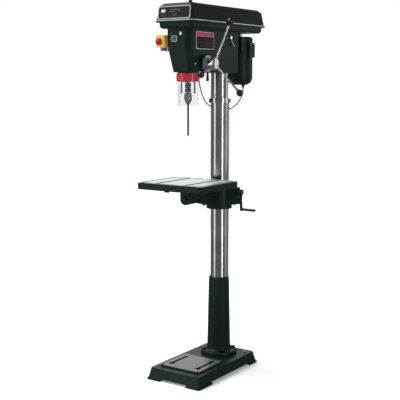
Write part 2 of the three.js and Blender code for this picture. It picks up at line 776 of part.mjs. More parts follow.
// A belt round two pulleys on the Y axis, so that its straight runs touch both circles.
function makeBelt(y0, r0, y1, r1, step) {
  const loop = (stand) => {
    const a = r0 - pulley.belt + stand;
    const b = r1 - pulley.belt + stand;
    const lean = Math.asin((b - a) / (y1 - y0));
    const arc = (centre, radius, from, to) =>
      Array.from({ length: 11 }, (_, i) => {
        const angle = from + ((to - from) * i) / 10;
        return new THREE.Vector2(radius * Math.cos(angle), centre + radius * Math.sin(angle));
      });
    return [...arc(y0, a, Math.PI + lean, 2 * Math.PI - lean), ...arc(y1, b, -lean, Math.PI + lean)];
  };
  const z0 = pulley.bottom + step * pulley.stepHeight + 5;
  const outer = new THREE.Shape(loop(pulley.belt - 0.5));
  outer.holes.push(new THREE.Path(loop(0)));
  return new THREE.ExtrudeGeometry(outer, { depth: 5, bevelEnabled: false }).translate(0, 0, z0);
}

function makeIdlerArm() {
  const floor = head.top + gap + tray.wall + gap;
  const pivotY = idler.y + idler.armBack;
  const plate = join(
    rodZ(13, floor, floor + 4, idler.armPivot, pivotY),
    rodZ(13, floor, floor + 4, 0, idler.y),
    slantedBar(0, idler.y, idler.armPivot, pivotY, 16, floor, floor + 4),
  );
  const pivot = rodZ(idlerPin.radius, head.top - idlerPin.depth, floor + 1, idler.armPivot, pivotY, 16);
  const post = rodZ(idler.post, floor, pulley.bottom + 3 * pulley.stepHeight + 4, 0, idler.y);
  return join(plate, pivot, post);
}

function slantedBar(x0, y0, x1, y1, width, z0, z1) {
  const length = Math.hypot(x1 - x0, y1 - y0);
  const bar = new THREE.BoxGeometry(length, width, z1 - z0);
  bar.rotateZ(Math.atan2(y1 - y0, x1 - x0));
  return solid(bar.translate((x0 + x1) / 2, (y0 + y1) / 2, (z0 + z1) / 2));
}

// ---- Motor ----

function makeMotor() {
  const { y, radius, bottom, top } = motor;
  const profile = [
    [0, bottom],
    [radius - 22, bottom],
    [radius - 7, bottom + 9],
    [radius, bottom + 28],
    [radius, top - 8],
    [radius - 8, top],
    [0, top],
  ];
  const body = solid(turned(profile, 28).translate(0, y, 0));
  const plate = box(-56, 56, y - radius - 12, y - radius + 14, head.bottom + 100, top - 2);
  const rods = [-1, 1].map((side) =>
    rodY(motorRod.radius, head.rear - 24, y - radius - 6, side * motorRod.x, motorRod.z, 12),
  );
  const shaftHole = rodZ(motor.shaft + gap, top - motor.shaftDepth - gap, top + 1, 0, y);
  return cut(join(body, plate, ...rods), shaftHole);
}

function makeMotorShaft() {
  const low = motor.top - motor.shaftDepth;
  const high = pulley.bottom + 3 * pulley.stepHeight - 2;
  return disc(motor.shaft, low, high, 16).translate(0, motor.y, 0);
}

function makeMotorBox() {
  const { y, radius } = motor;
  const outer = box(radius * 0.9, radius + 9, y - 25, y + 24, 1450, 1518);
  return outer.subtract(rodZ(radius + gap, 1400, 1560, 0, y, 28));
}

function makeTensionLever() {
  const { radius, y, z, length, rod, ball } = leverPivot;
  const lean = THREE.MathUtils.degToRad(leverPivot.lean);
  const x = head.halfWidth;
  const pivot = rodX(radius, x - 12, x + 8, y, z, 12);
  const hub = rodX(radius + 3, x + gap, x + 9, y, z, 16);
  const arm = new THREE.CylinderGeometry(rod, rod, length, 8).rotateX(Math.PI / 2);
  const down = arm.translate(0, 0, -length / 2).rotateX(lean).translate(x + 5, y, z);
  const knob = new THREE.SphereGeometry(ball, 10, 6);
  knob.translate(x + 5, y + length * Math.sin(lean), z - length * Math.cos(lean));
  return join(pivot, hub, solid(down), solid(knob));
}

// ---- Table, bracket and crank ----

function makeTable() {
  const { halfWidth, front, rear, top, depth, corner, wall } = table;
  const loop = (step, z) =>
    roundedLoop(-halfWidth + step, halfWidth - step, front + step, rear - step, corner, z);
  const body = loft([loop(2, top - depth), loop(0, top - depth + 3), loop(0, top - 1), loop(1, top)]);
  const inside = halfWidth - wall;
  const hollow = box(-inside, inside, front + wall, rear - wall, top - depth - 1, top - wall);
  const { outer, inner } = tableChannel;
  const channelOuter = loft([loop(outer, top - tableChannel.depth), loop(outer, top + 1)]);
  const channelInner = loft([loop(inner, top - tableChannel.depth - 1), loop(inner, top + 2)]);
  const { x: grooveX, halfWidth: half, end } = tableGroove;
  const grooves = [-grooveX, grooveX].map((x) =>
    box(x - half, x + half, front + end, rear - end, top - tableGroove.depth, top + 1),
  );
  const shell = cut(body, hollow, cut(channelOuter, channelInner), ...grooves);
  const web = join(
    box(-tilt.radius, tilt.radius, tilt.front, tilt.seam - gap, tilt.z, top - wall + 1),
    rodY(tilt.radius, tilt.front, tilt.seam - gap, 0, tilt.z, 24),
  );
  const boltHole = rodY(8 + gap, tilt.front - 1, tilt.seam + 1, 0, tilt.z);
  return cut(shell.add(web), boltHole);
}

function makeTiltBolt() {
  const head6 = solid(alongY(disc(14, tilt.front - 9, tilt.front - gap, 6), 0, 0, tilt.z));
  return head6.add(rodY(8, tilt.front - 1, tilt.seam + 30, 0, tilt.z));
}

function makeBracket() {
  const { bottom, top, outer, armHalf } = bracket;
  const clamp = rodZ(outer, bottom, top, 0, 0, 28);
  const armBottom = tilt.z - tilt.radius;
  const armLoop = (y, z0, z1) => [
    [-armHalf, y, z0],
    [armHalf, y, z0],
    [armHalf, y, z1],
    [-armHalf, y, z1],
  ];
  const arm = loft([armLoop(-30, bottom + 8, top - 8), armLoop(tilt.seam + 12, armBottom + 4, tilt.z + 20)]);
  const flange = rodY(tilt.radius, tilt.seam, tilt.seam + 14, 0, tilt.z, 24);
  const wormLow = crank.z - 14;
  const housing = join(
    box(30, 100, -26, 26, wormLow - 44, crank.z + 20),
    rodX(16, 90, 106, 0, crank.z),
  );
  const bore = rodZ(column.radius + gap, bottom - 1, top + 1, 0, 0, 32);
  const rackSlot = box(20, rackTip + gap, -rack.width / 2 - gap, rack.width / 2 + gap, bottom - 1, top + 1);
  const gearRoom = liftRadius + 3;
  const pinionRoom = rodY(gearRoom, -12, 12, liftPinion.x, liftPinion.z, 20);
  const pinionAxle = rodY(5 + gap, -27, 27, liftPinion.x, liftPinion.z, 12);
  const wormRoom = rodX(crank.shaft + gap, 25, 108, 0, crank.z);
  const boltHole = rodY(8 + gap, tilt.seam - 1, tilt.seam + 36, 0, tilt.z);
  const lockHole = rodX(tableLock.pin + gap, armHalf - 13, armHalf + 1, tableLock.y, tableLock.z, 12);
  const split = box(-outer - 1, -column.radius + 8, -1.5, 1.5, bottom - 2, top + 2);
  const body = join(clamp, arm, flange, housing);
  return cut(body, bore, rackSlot, pinionRoom, pinionAxle, wormRoom, boltHole, lockHole, split);
}

function makeLiftPinion() {
  const outline = gearOutline(liftTeeth, rack.toothModule, 180);
  const gear = solid(raised(outline, -10, 10));
  const axle = solid(disc(5, -25, 25, 12));
  return alongYSolid(gear.add(axle), liftPinion.x, 0, liftPinion.z);
}

// Turns a finished solid so that its +Z lies along -Y and moves it.
function alongYSolid(shape, x, y, z) {
  return shape.rotate([90, 0, 0]).translate([x, y, z]);
}

const makeWormShaft = () => rodX(crank.shaft, rackTip + 2, crank.hubX + 16, 0, crank.z);

function makeCrankArm() {
  const { hubX: x, radius, shaft, z } = crank;
  const hub = rodX(13, x, x + 15, 0, z);
  const arm = loft([
    roundedLoop(x + 6, x + 15, -6, 6, 2, z - radius, 2),
    roundedLoop(x + 2, x + 11, -8, 8, 2, z - radius / 2, 2),
    roundedLoop(x + 3, x + 12, -9, 9, 2, z, 2),
  ]);
  const end = rodX(8, x + 6, x + 15, 0, z - radius);
  const stud = rodX(3.5, x + 8, x + 15 + crank.gripLength - 10, 0, z - radius, 12);
  return cut(join(hub, arm, end, stud), rodX(shaft + gap, x - 1, x + 16 + gap, 0, z));
}

function makeCrankGrip() {
  const { hubX: x, radius, gripLength, grip, z } = crank;
  const start = x + 15 + gap;
  const hole = 3.5 + gap;
  const end = start + gripLength - 6;
  const profile = [
    [hole, start],
    [grip - 1, start],
    [grip, start + 6],
    [grip + 0.8, end - 16],
    [grip, end - 2],
    [grip - 2, end + 2],
    [0, end + 2],
    [0, end - 2],
    [hole, end - 2],
    [hole, start],
  ];
  return alongX(turned(profile, 14), 0, 0, z - radius);
}

function makeTableLock() {
  const { y, z, boss, pin, length, lean } = tableLock;
  const x = bracket.armHalf + gap;
  const hub = rodX(boss, x, x + 10, y, z, 12).add(rodX(pin, x - 12, x + 1, y, z, 12));
  const arm = new THREE.CylinderGeometry(3.5, 3, length, 8).rotateX(Math.PI / 2);
  const slanted = arm.translate(0, 0, -length / 2).rotateX(THREE.MathUtils.degToRad(lean));
  slanted.translate(x + 6, y, z);
  return hub.add(solid(slanted));
}

// ---- Switches and buttons ----

function makeSwitchHousing() {
  const { left, face, rear, bottom, top } = switchBox;
  const right = -head.halfWidth - gap;
  const outer = box(left, right, face, rear, bottom, top);
  const inner = box(left + 3, right - 3, face - 1, rear - 3, bottom + 3, top - 3);
  return outer.subtract(inner);
}

function makeStopCover() {
  const { left, front, face, top } = switchBox;
  const right = -head.halfWidth - gap;
  const back = face - gap;
  const outer = box(left, right, front, back, coverBottom, top);
  const inner = box(left + 3, right - 3, front + 3, back + 1, coverBottom + 3, top - 3);
  const { x, z } = stopPlace();
  return cut(outer, inner, rodY(7 + gap, front - 1, front + 4, x, z, 16));
}

const stopPlace = () => ({
  x: (switchBox.left - head.halfWidth - gap) / 2,
  z: (coverBottom + switchBox.top) / 2 - 3,
});

function makeStopButton() {
  const { x, z } = stopPlace();
  const { front } = switchBox;
  const profile = [[0, -20], [7, -20], [7, 4], [14, 4.5], [15.5, 7], [15, 11], [11, 15], [0, 16.5]];
  const shape = turned(profile, 18).rotateX(Math.PI / 2);
  return shape.translate(x, front, z);
}

function makeStartBezel() {
  const { x, z, width, height } = startButton;
  const y1 = head.front - gap;
  const [frameX, frameZ] = [bezel.width / 2, bezel.height / 2];
  const [holeX, holeZ] = [width / 2 + gap, height / 2 + gap];
  const outer = box(x - frameX, x + frameX, y1 - bezel.depth, y1, z - frameZ, z + frameZ);
  const inner = box(x - holeX, x + holeX, y1 - bezel.depth - 1, y1 + 1, z - holeZ, z + holeZ);
  return outer.subtract(inner);
}

function makeStartButton() {
  const { x, z, width, height, depth } = startButton;
  const y0 = head.front - 6;
  return box(x - width / 2, x + width / 2, y0, y0 + depth, z - height / 2, z + height / 2);
}

// ---- Motor lead ----

// The lead leaves the head's underside behind the quill, hangs round the column and rises to the motor.
const leadRoute = [
  [-8, -158, 1376.4],
  [-8, -158, 1358],
  [-9, -151, 1332],
  [-14, -134, 1304],
  [-24, -106, 1278],
  [-36, -72, 1257],
  [-50, -32, 1239],
  [-56, 8, 1225],
  [-50, 46, 1214],
  [-30, 78, 1209],
  [-6, 98, 1211],
  [10, 118, 1224],
  [22, 143, 1252],
  [26, 160, 1280],
  [26, 165, 1306],
  [26, 165, 1324.4],
];
const leadRadius = 2.6;
const gland = { bore: 3.4, tip: 4.6, nut: 8, nutHeight: 6, length: 16 };

function makeLead() {
  const curve = new THREE.CatmullRomCurve3(leadRoute.map(([x, y, z]) => new THREE.Vector3(x, y, z)));
  const section = new THREE.Shape();
  const sides = 8;
  for (let i = 0; i < sides; i++) {
    const [x, y] = polar(leadRadius, (360 * i) / sides);
    if (i === 0) section.moveTo(x, y);
    else section.lineTo(x, y);
  }
  section.closePath();
  return new THREE.ExtrudeGeometry(section, { steps: 36, extrudePath: curve, bevelEnabled: false });
}

// A gland at either end of the lead: a nut under the casting and a tapered sleeve round the lead.
function makeGland(x, y, face) {
  const { bore, tip, nut, nutHeight, length } = gland;
  const top = face - gap;
  const profile = [
    [bore, top],
    [bore, top - length],
    [tip, top - length],
    [tip + 1.5, top - nutHeight - 1],
    [nut, top - nutHeight],
    [nut, top],
    [bore, top],
  ];
  return turned(profile, 12).translate(x, y, 0);
}

// ---- Assembly ----

function makeFrame() {
  const group = new THREE.Group();
  group.add(piece("base", makeBase(), paint()));
  makeBaseBolts(group);
  group.add(piece("column_sleeve", makeSleeve(), paint()));
  group.add(piece("column", makeColumn(), steel()));
  group.add(piece("rack", makeRack(), steel()));
  group.add(piece("rack_collar", makeCollar(), steel()));
  group.add(piece("head_casting", makeHead(), paint()));
  group.add(piece("spring_housing", makeSpringCup(), aluminium()));
  group.add(piece("motor_lead", makeLead(), rubber()));
  const [[headX, headY]] = leadRoute;
  const [motorX, motorY] = leadRoute.at(-1);
  group.add(piece("lead_gland_head", makeGland(headX, headY, head.bottom), blackPlastic()));
  group.add(piece("lead_gland_motor", makeGland(motorX, motorY, motor.bottom), blackPlastic()));
  return group;
}

function makeQuillGroup() {
  const group = new THREE.Group();
  group.add(piece("quill", makeQuill(), steel()));
  group.add(piece("spindle", makeSpindle(), steel()));
  group.add(piece("chuck_body", makeChuckBody(), steel()));
  group.add(piece("chuck_sleeve", makeChuckSleeve(), steel()));
  group.add(piece("chuck_jaws", makeChuckJaws(), steel()));
  group.add(piece("drill_bit", makeDrill(), blackPlastic()));
  group.add(piece("guard_collar", makeGuardCollar(), blackPlastic()));
  group.add(piece("guard_frame", makeGuardFrame(), redPlastic()));
  group.add(piece("guard_shield", makeGuardShield(), clear()));
  return group;
}

function makeFeedGroup() {
  const group = new THREE.Group();
  const shaft = piece("feed_shaft", makeFeedShaft(), steel());
  shaft.rotation.y = Math.PI / 2;
  shaft.position.set(0, feed.y, feed.z);
  group.add(shaft);
  group.add(piece("feed_hub", makeHub(), chrome()));
  for (let i = 0; i < 3; i++) group.add(makeArm(i));
  group.add(piece("depth_ring", makeDepthRing(), aluminium()));
  group.add(piece("depth_lock_lever", makeDepthLock(), blackPlastic()));
  return group;
}

function makeDriveGroup() {
  const group = new THREE.Group();
  const add = (name, geometry, y, material) => {
    const made = piece(name, geometry, material);
    made.position.y = y;
    group.add(made);
  };
  const spindlePulley = makePulley(pulley.spindleSteps, spindle.radius + gap, pulley.hub, bearingSeat + gap);
  const frontBelt = makeBelt(spindleY, pulley.spindleSteps[1], idler.y, idler.steps[1], 1);
  const rearBelt = makeBelt(idler.y, idler.steps[2], motor.y, motor.steps[2], 2);
  add("spindle_pulley", spindlePulley, spindleY, aluminium());
  const hubBottom = pulley.bottom - 6;
  add("idler_pulley", makePulley(idler.steps, idler.post + gap, 14, hubBottom), idler.y, aluminium());
  add("motor_pulley", makePulley(motor.steps, motor.shaft + gap, 16, hubBottom), motor.y, aluminium());
  group.add(piece("front_belt", frontBelt, rubber()));
  group.add(piece("rear_belt", rearBelt, rubber()));
  group.add(piece("idler_arm", makeIdlerArm(), paint()));
  group.add(piece("motor", makeMotor(), paint()));
  group.add(piece("motor_shaft", makeMotorShaft(), steel()));
  group.add(piece("motor_box", makeMotorBox(), paint()));
  group.add(piece("tension_lever", makeTensionLever(), chrome()));
  group.add(piece("belt_cover_tray", makeTray(), paint()));
  group.add(piece("belt_cover_lid", makeLid(), charcoal()));
  group.add(piece("lid_knob", makeLidKnob(), blackPlastic()));
  group.add(piece("lid_hinge_pin", makeLidPin(), steel()));
  return group;
}

function makeTableGroup() {
  const group = new THREE.Group();
  group.add(piece("table", makeTable(), paint()));
  group.add(piece("tilt_bolt", makeTiltBolt(), steel()));
  group.add(piece("table_bracket", makeBracket(), paint()));
  group.add(piece("table_lock_lever", makeTableLock(), blackPlastic()));
  group.add(piece("lift_pinion", makeLiftPinion(), steel()));
  group.add(piece("worm_shaft", makeWormShaft(), steel()));
  group.add(piece("crank_arm", makeCrankArm(), paint()));
  group.add(piece("crank_grip", makeCrankGrip(), blackPlastic()));
  return group;
}

function makeControls() {
  const group = new THREE.Group();
  group.add(piece("switch_housing", makeSwitchHousing(), grey()));
  group.add(piece("stop_cover", makeStopCover(), yellow()));
  group.add(piece("stop_button", makeStopButton(), redPlastic()));
  group.add(piece("start_bezel", makeStartBezel(), mint()));
  group.add(piece("start_button", makeStartButton(), green()));
  return group;
}

const drillPress = new THREE.Group();
drillPress.name = "drill_press";
drillPress.add(makeFrame(), makeQuillGroup(), makeFeedGroup());
drillPress.add(makeDriveGroup(), makeTableGroup(), makeControls());

const bounds = new THREE.Box3().setFromObject(drillPress, true);
const middle = bounds.getCenter(new THREE.Vector3());
drillPress.position.set(-middle.x, -middle.y, -bounds.min.z);

export default drillPress;
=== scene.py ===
import math

import bpy
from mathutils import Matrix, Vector
from mathutils.bvhtree import BVHTree
from mathutils.geometry import interpolate_bezier


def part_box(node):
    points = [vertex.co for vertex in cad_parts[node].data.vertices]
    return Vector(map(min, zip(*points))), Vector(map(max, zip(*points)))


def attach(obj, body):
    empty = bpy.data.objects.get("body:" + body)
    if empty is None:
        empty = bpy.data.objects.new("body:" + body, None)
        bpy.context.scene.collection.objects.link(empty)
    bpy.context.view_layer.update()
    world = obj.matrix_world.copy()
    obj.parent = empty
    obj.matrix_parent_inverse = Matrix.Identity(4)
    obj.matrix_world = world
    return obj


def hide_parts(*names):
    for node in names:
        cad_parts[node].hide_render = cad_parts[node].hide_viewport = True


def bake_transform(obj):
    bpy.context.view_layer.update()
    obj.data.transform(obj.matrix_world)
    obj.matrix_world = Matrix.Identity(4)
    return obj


# A floor-standing drill press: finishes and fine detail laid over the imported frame.
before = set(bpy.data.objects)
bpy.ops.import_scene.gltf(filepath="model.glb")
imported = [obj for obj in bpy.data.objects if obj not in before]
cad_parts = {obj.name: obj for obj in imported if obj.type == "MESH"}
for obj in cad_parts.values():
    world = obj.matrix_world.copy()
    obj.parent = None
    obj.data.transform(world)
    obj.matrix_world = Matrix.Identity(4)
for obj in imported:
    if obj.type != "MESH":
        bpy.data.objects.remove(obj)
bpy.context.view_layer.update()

columnLow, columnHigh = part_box("column")
columnX = (columnLow.x + columnHigh.x) / 2
columnY = (columnLow.y + columnHigh.y) / 2
spindleY = -252  # throat, from the column's axis
feedY, feedZ = -211, 1415  # the feed shaft's axis


def at(x, y, z):  # millimetres from the column's axis and the floor
    return Vector((columnX + x / 1000, columnY + y / 1000, z / 1000))


# Camera: an operator's eye to the right of the press

view = {"place": (2219.3, -3417.5, 1331.6), "turn": 34.26, "tilt": 7.6, "lens": 79.0}

bpy.ops.object.camera_add(location=at(*view["place"]))
camera = bpy.context.object
camera.rotation_euler = (math.radians(90 - view["tilt"]), 0, math.radians(view["turn"]))
camera.data.lens = view["lens"]
camera.data.sensor_width = 36
camera.data.clip_end = 60
bpy.context.scene.camera = camera
print("camera ready")

# Handling


def clearSelection():
    if bpy.context.mode != "OBJECT":
        bpy.ops.object.mode_set(mode="OBJECT")
    bpy.ops.object.select_all(action="DESELECT")


def pick(piece):
    clearSelection()
    piece.select_set(True)
    bpy.context.view_layer.objects.active = piece


def settle(piece):  # puts the piece's place into its mesh
    pick(piece)
    bpy.ops.object.transform_apply(location=True, rotation=True, scale=True)


def applyModifier(piece, kind, **settings):
    pick(piece)
    modifier = piece.modifiers.new("step", kind)
    for name, value in settings.items():
        setattr(modifier, name, value)
    bpy.ops.object.modifier_apply(modifier=modifier.name)


def breakEdges(piece, width, angle=32, segments=2):  # rounds the sharp edges and smooths the rest
    if width:
        applyModifier(
            piece,
            "BEVEL",
            width=width / 1000,
            segments=segments,
            limit_method="ANGLE",
            angle_limit=math.radians(angle),
            use_clamp_overlap=True,
        )
    pick(piece)
    bpy.ops.object.shade_smooth_by_angle(angle=math.radians(38))
    applyModifier(piece, "WEIGHTED_NORMAL", keep_sharp=True)


def turnPiece(name, outline, place=(0, 0, 0), along=(0, 0, 1), sides=64, edges=0.4):
    # a ring drawn up and scaled from point to point, as on a lathe; a closed outline makes a sleeve
    clearSelection()
    radius, height = outline[0]
    bpy.ops.mesh.primitive_circle_add(vertices=sides, radius=radius / 1000, location=(0, 0, height / 1000))
    piece = bpy.context.object
    piece.name = name
    settle(piece)
    bpy.ops.object.mode_set(mode="EDIT")
    bpy.ops.mesh.select_mode(type="VERT")
    bpy.ops.mesh.select_all(action="SELECT")
    for nextRadius, nextHeight in outline[1:]:
        bpy.ops.mesh.extrude_region_move(TRANSFORM_OT_translate={"value": (0, 0, (nextHeight - height) / 1000)})
        growth = nextRadius / radius
        bpy.ops.transform.resize(value=(growth, growth, 1), center_override=(0, 0, nextHeight / 1000))
        radius, height = nextRadius, nextHeight
    bpy.ops.mesh.select_all(action="SELECT")
    bpy.ops.mesh.remove_doubles(threshold=0.00002)
    bpy.ops.mesh.fill_holes(sides=0)
    bpy.ops.mesh.normals_make_consistent(inside=False)
    bpy.ops.object.mode_set(mode="OBJECT")
    breakEdges(piece, edges)
    piece.rotation_mode = "QUATERNION"
    piece.rotation_quaternion = Vector(along).to_track_quat("Z", "Y")
    piece.location = at(*place)
    settle(piece)
    return piece


def blockPiece(name, low, high, edges=0.6, segments=2):
    clearSelection()
    corner, opposite = at(*low), at(*high)
    bpy.ops.mesh.primitive_cube_add(size=1, location=(corner + opposite) / 2)
    piece = bpy.context.object
    piece.name = name
    piece.scale = opposite - corner
    settle(piece)
    bpy.ops.object.mode_set(mode="EDIT")
    bpy.ops.mesh.select_all(action="SELECT")
    bpy.ops.mesh.bevel(offset=edges / 1000, segments=segments, affect="EDGES", clamp_overlap=True)
    bpy.ops.object.mode_set(mode="OBJECT")
    bpy.ops.object.shade_smooth_by_angle(angle=math.radians(50))
    return piece


def dressedCopy(node, name, edges, angle=32, segments=2):
    # a merged copy of a frame node with its edges broken, as a fettled casting has
    clearSelection()
    piece = bpy.data.objects.new(name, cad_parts[node].data.copy())
    bpy.context.scene.collection.objects.link(piece)
    piece.data.materials.clear()
    pick(piece)
    bpy.ops.object.mode_set(mode="EDIT")
    bpy.ops.mesh.select_all(action="SELECT")
    bpy.ops.mesh.customdata_custom_splitnormals_clear()
    bpy.ops.mesh.remove_doubles(threshold=0.00002)
    bpy.ops.mesh.dissolve_limited(angle_limit=math.radians(1))
    bpy.ops.object.mode_set(mode="OBJECT")
    breakEdges(piece, edges, angle, segments)
    return piece


def gather(name, pieces):  # joins pieces into the first
    pick(pieces[0])
    for other in pieces[1:]:
        other.select_set(True)
    bpy.ops.object.join()
    bpy.context.object.name = name
    return bpy.context.object


def coat(piece, finish, where=None):  # a finish for the whole piece, or for the faces that `where` picks
    if finish.name not in piece.data.materials:
        piece.data.materials.append(finish)
    index = piece.data.materials.find(finish.name)
    for face in piece.data.polygons:
        if where is None or where(face.center, face.normal):
            face.material_index = index


def seat(piece, body, finish=None, nodes=()):
    if finish:
        coat(piece, finish)
    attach(piece, body)
    if nodes:
        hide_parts(*nodes)
    return piece


def nodeHit(node, start, along):  # where a line first meets a frame node
    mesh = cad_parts[node].data
    tree = BVHTree.FromPolygons([v.co for v in mesh.vertices], [p.vertices for p in mesh.polygons])
    return tree.ray_cast(start, Vector(along))[0]


def sideX(y, z, node="head_casting"):  # how far out the right side is, in millimetres
    return (nodeHit(node, at(400, y, z), (-1, 0, 0)).x - columnX) * 1000


# Finishes


def shade(hexText):  # an sRGB hex value as linear light
    parts = [int(hexText[i : i + 2], 16) / 255 for i in (0, 2, 4)]
    linear = [p / 12.92 if p <= 0.04045 else ((p + 0.055) / 1.055) ** 2.4 for p in parts]
    return (*linear, 1)


def addNode(finish, kind, settings=None, values=None, links=None):
    node = finish.node_tree.nodes.new(kind)
    for name, value in (settings or {}).items():
        setattr(node, name, value)
    for name, value in (values or {}).items():
        node.inputs[name].default_value = value
    for name, (source, output) in (links or {}).items():
        finish.node_tree.links.new(source.outputs[output], node.inputs[name])
    return node


def makeFinish(name, dark, light, metallic, rough, grain, stretch=(1, 1, 1), bump=0.02, **surface):
    # two shades and two roughnesses that drift over the surface, with a grain of `grain` millimetres
    finish = bpy.data.materials.new(name)
    finish.use_nodes = True
    finish.diffuse_color = shade(light)
    tree = finish.node_tree
    tree.nodes.clear()
    place = addNode(finish, "ShaderNodeTexCoord")
    laid = addNode(finish, "ShaderNodeMapping", values={"Scale": stretch}, links={"Vector": (place, "Object")})
    fine = addNode(
        finish,
        "ShaderNodeTexNoise",
        values={"Scale": 1000 / grain, "Detail": 3.0, "Roughness": 0.6},
        links={"Vector": (laid, "Vector")},
    )
    drift = {"Scale": 9.0, "Detail": 4.0}
    broad = addNode(finish, "ShaderNodeTexNoise", values=drift, links={"Vector": (place, "Object")})
    mixed = addNode(finish, "ShaderNodeMath", {"operation": "MULTIPLY_ADD"}, {1: 0.5}, {0: (fine, "Fac")})
    half = addNode(finish, "ShaderNodeMath", {"operation": "MULTIPLY"}, {1: 0.5}, {0: (broad, "Fac")})
    tree.links.new(half.outputs[0], mixed.inputs[2])
    shades = addNode(finish, "ShaderNodeValToRGB", links={"Fac": (mixed, "Value")})
    shades.color_ramp.elements[0].position = 0.35
    shades.color_ramp.elements[0].color = shade(dark)
    shades.color_ramp.elements[1].position = 0.65
    shades.color_ramp.elements[1].color = shade(light)
    gloss = addNode(
        finish,
        "ShaderNodeMapRange",
        values={"From Min": 0.3, "From Max": 0.7, "To Min": rough[0], "To Max": rough[1]},
        links={"Value": (mixed, "Value")},
    )
    depth = {"Strength": 0.5, "Distance": bump / 1000}
    relief = addNode(finish, "ShaderNodeBump", values=depth, links={"Height": (fine, "Fac")})
    body = addNode(
        finish,
        "ShaderNodeBsdfPrincipled",
        values={"Metallic": metallic},
        links={"Base Color": (shades, "Color"), "Roughness": (gloss, "Result"), "Normal": (relief, "Normal")},
    )
    for key, value in surface.items():
        body.inputs[key.replace("_", " ")].default_value = value
    addNode(finish, "ShaderNodeOutputMaterial", links={"Surface": (body, "BSDF")})
    return finish


lowSheen = {"Specular_IOR_Level": 0.16}
# sprayed enamel over rough iron: near black with a green cast and a soft orange peel
castEnamel = makeFinish("castEnamel", "0a1a15", "132820", 0, (0.34, 0.46), 1.6, bump=0.05, **lowSheen)
# the same enamel on pressed sheet, a little greyer and flatter
lidEnamel = makeFinish("lidEnamel", "12171a", "1a2024", 0, (0.34, 0.44), 1.2, bump=0.03, **lowSheen)
# centreless-ground tube: fine rings round the axis, bright
columnSteel = makeFinish("columnSteel", "a9adb2", "cfd2d6", 1, (0.14, 0.24), 1.4, (0.15, 0.15, 1), 0.006)
# milled and ground bar and shafts
groundSteel = makeFinish("groundSteel", "8f9397", "b9bcc0", 1, (0.24, 0.36), 1.0, bump=0.01)
# ground cast iron with the grinder's lines running front to back
tableIron = makeFinish("tableIron", "b9bdbb", "d6d9d7", 0.2, (0.3, 0.42), 1.4, (1, 0.06, 1), 0.01)
# machined pad on the base, coloured a darker, bluer grey than the table's lands
padIron = makeFinish("padIron", "505258", "686b73", 0.3, (0.28, 0.4), 1.6, (1, 0.08, 1), 0.01)
# polished plating on hub, arms and levers
handChrome = makeFinish("handChrome", "c9ccd0", "e2e4e7", 1, (0.07, 0.13), 3.0, bump=0.002)
# turned alloy steel of the chuck
chuckSteel = makeFinish("chuckSteel", "6f7277", "9b9ea4", 1, (0.2, 0.32), 0.9, (0.2, 0.2, 1), 0.008)
# chemically blackened steel of the bit and the spindle nose
blackOxide = makeFinish("blackOxide", "0c0d11", "1a1b21", 0.6, (0.32, 0.44), 1.0, bump=0.008)
# sand-cast and turned aluminium of pulleys and the spring housing
castAluminium = makeFinish("castAluminium", "9a9da0", "bfc2c4", 1, (0.32, 0.48), 0.9, bump=0.02)
# moulded phenolic: glossy black hand parts
clearCoat = {"Coat_Weight": 0.3}
blackPhenolic = makeFinish("blackPhenolic", "08090a", "101213", 0, (0.16, 0.26), 2.4, bump=0.006, **clearCoat)
# rubber of belts, sheath and glands
blackRubber = makeFinish("blackRubber", "141516", "202224", 0, (0.6, 0.78), 0.8, bump=0.03)
greySheath = makeFinish("greySheath", "3c3e40", "54575a", 0, (0.4, 0.55), 1.2, bump=0.01)
# glossy moulded plastics of the guard, the switches and the pilot lamp
redPlastic = makeFinish("redPlastic", "a31f30", "b92b3c", 0, (0.22, 0.34), 2.0, bump=0.01, Coat_Weight=0.2)
stopRed = makeFinish("stopRed", "8a130d", "a01c12", 0, (0.3, 0.42), 1.6, bump=0.01)
switchYellow = makeFinish("switchYellow", "f6bd47", "fdce5e", 0, (0.34, 0.46), 1.4, bump=0.01)
buttonGreen = makeFinish("buttonGreen", "05463a", "0b5c49", 0, (0.3, 0.42), 1.4, bump=0.008)
lampGreen = makeFinish("lampGreen", "1f8a52", "34a468", 0, (0.2, 0.3), 1.4, bump=0.008)
bezelMint = makeFinish("bezelMint", "a6c2b7", "bcd3c9", 0, (0.34, 0.46), 1.4, bump=0.008)
housingGrey = makeFinish("housingGrey", "e6eaed", "f2f4f6", 0, (0.4, 0.52), 1.2, bump=0.012)
clearShield = makeFinish("clearShield", "7d878a", "a4adb0", 0, (0.06, 0.1), 4.0, bump=0.002, Alpha=0.12)
# anodised strip and printed plates
brightTrim = makeFinish("brightTrim", "94a09b", "afbab5", 0.35, (0.22, 0.32), 1.0, (0.1, 0.1, 1), 0.004)
matt = {"Specular_IOR_Level": 0.2}
plateDark = makeFinish("plateDark", "0d0e11", "16171b", 0, (0.4, 0.5), 1.2, bump=0.004, **matt)
plateRed = makeFinish("plateRed", "a53a4e", "b84a5d", 0, (0.34, 0.44), 1.2, bump=0.004, **matt)
plateMaroon = makeFinish("plateMaroon", "34161b", "421d23", 0, (0.34, 0.44), 1.2, bump=0.004, **matt)
plateGrey = makeFinish("plateGrey", "5a5654", "6e6a67", 0, (0.34, 0.44), 1.2, bump=0.004, **matt)
plateLight = makeFinish("plateLight", "b4b8ba", "cdd0d2", 0, (0.34, 0.44), 1.2, bump=0.004)
print("finishes ready")

# The lead from the head to the motor

lead = {
    "radius": 2.6,
    "route": [
        (-8, -158, 1376.4),
        (-8, -158, 1358),
        (-9, -151, 1332),
        (-14, -134, 1304),
        (-24, -106, 1278),
        (-36, -72, 1257),
        (-50, -32, 1239),
        (-56, 8, 1225),
        (-50, 46, 1214),
        (-30, 78, 1209),
        (-6, 98, 1211),
        (10, 118, 1224),
        (22, 143, 1252),
        (26, 160, 1280),
        (26, 165, 1306),
        (26, 165, 1324.4),
    ],
}


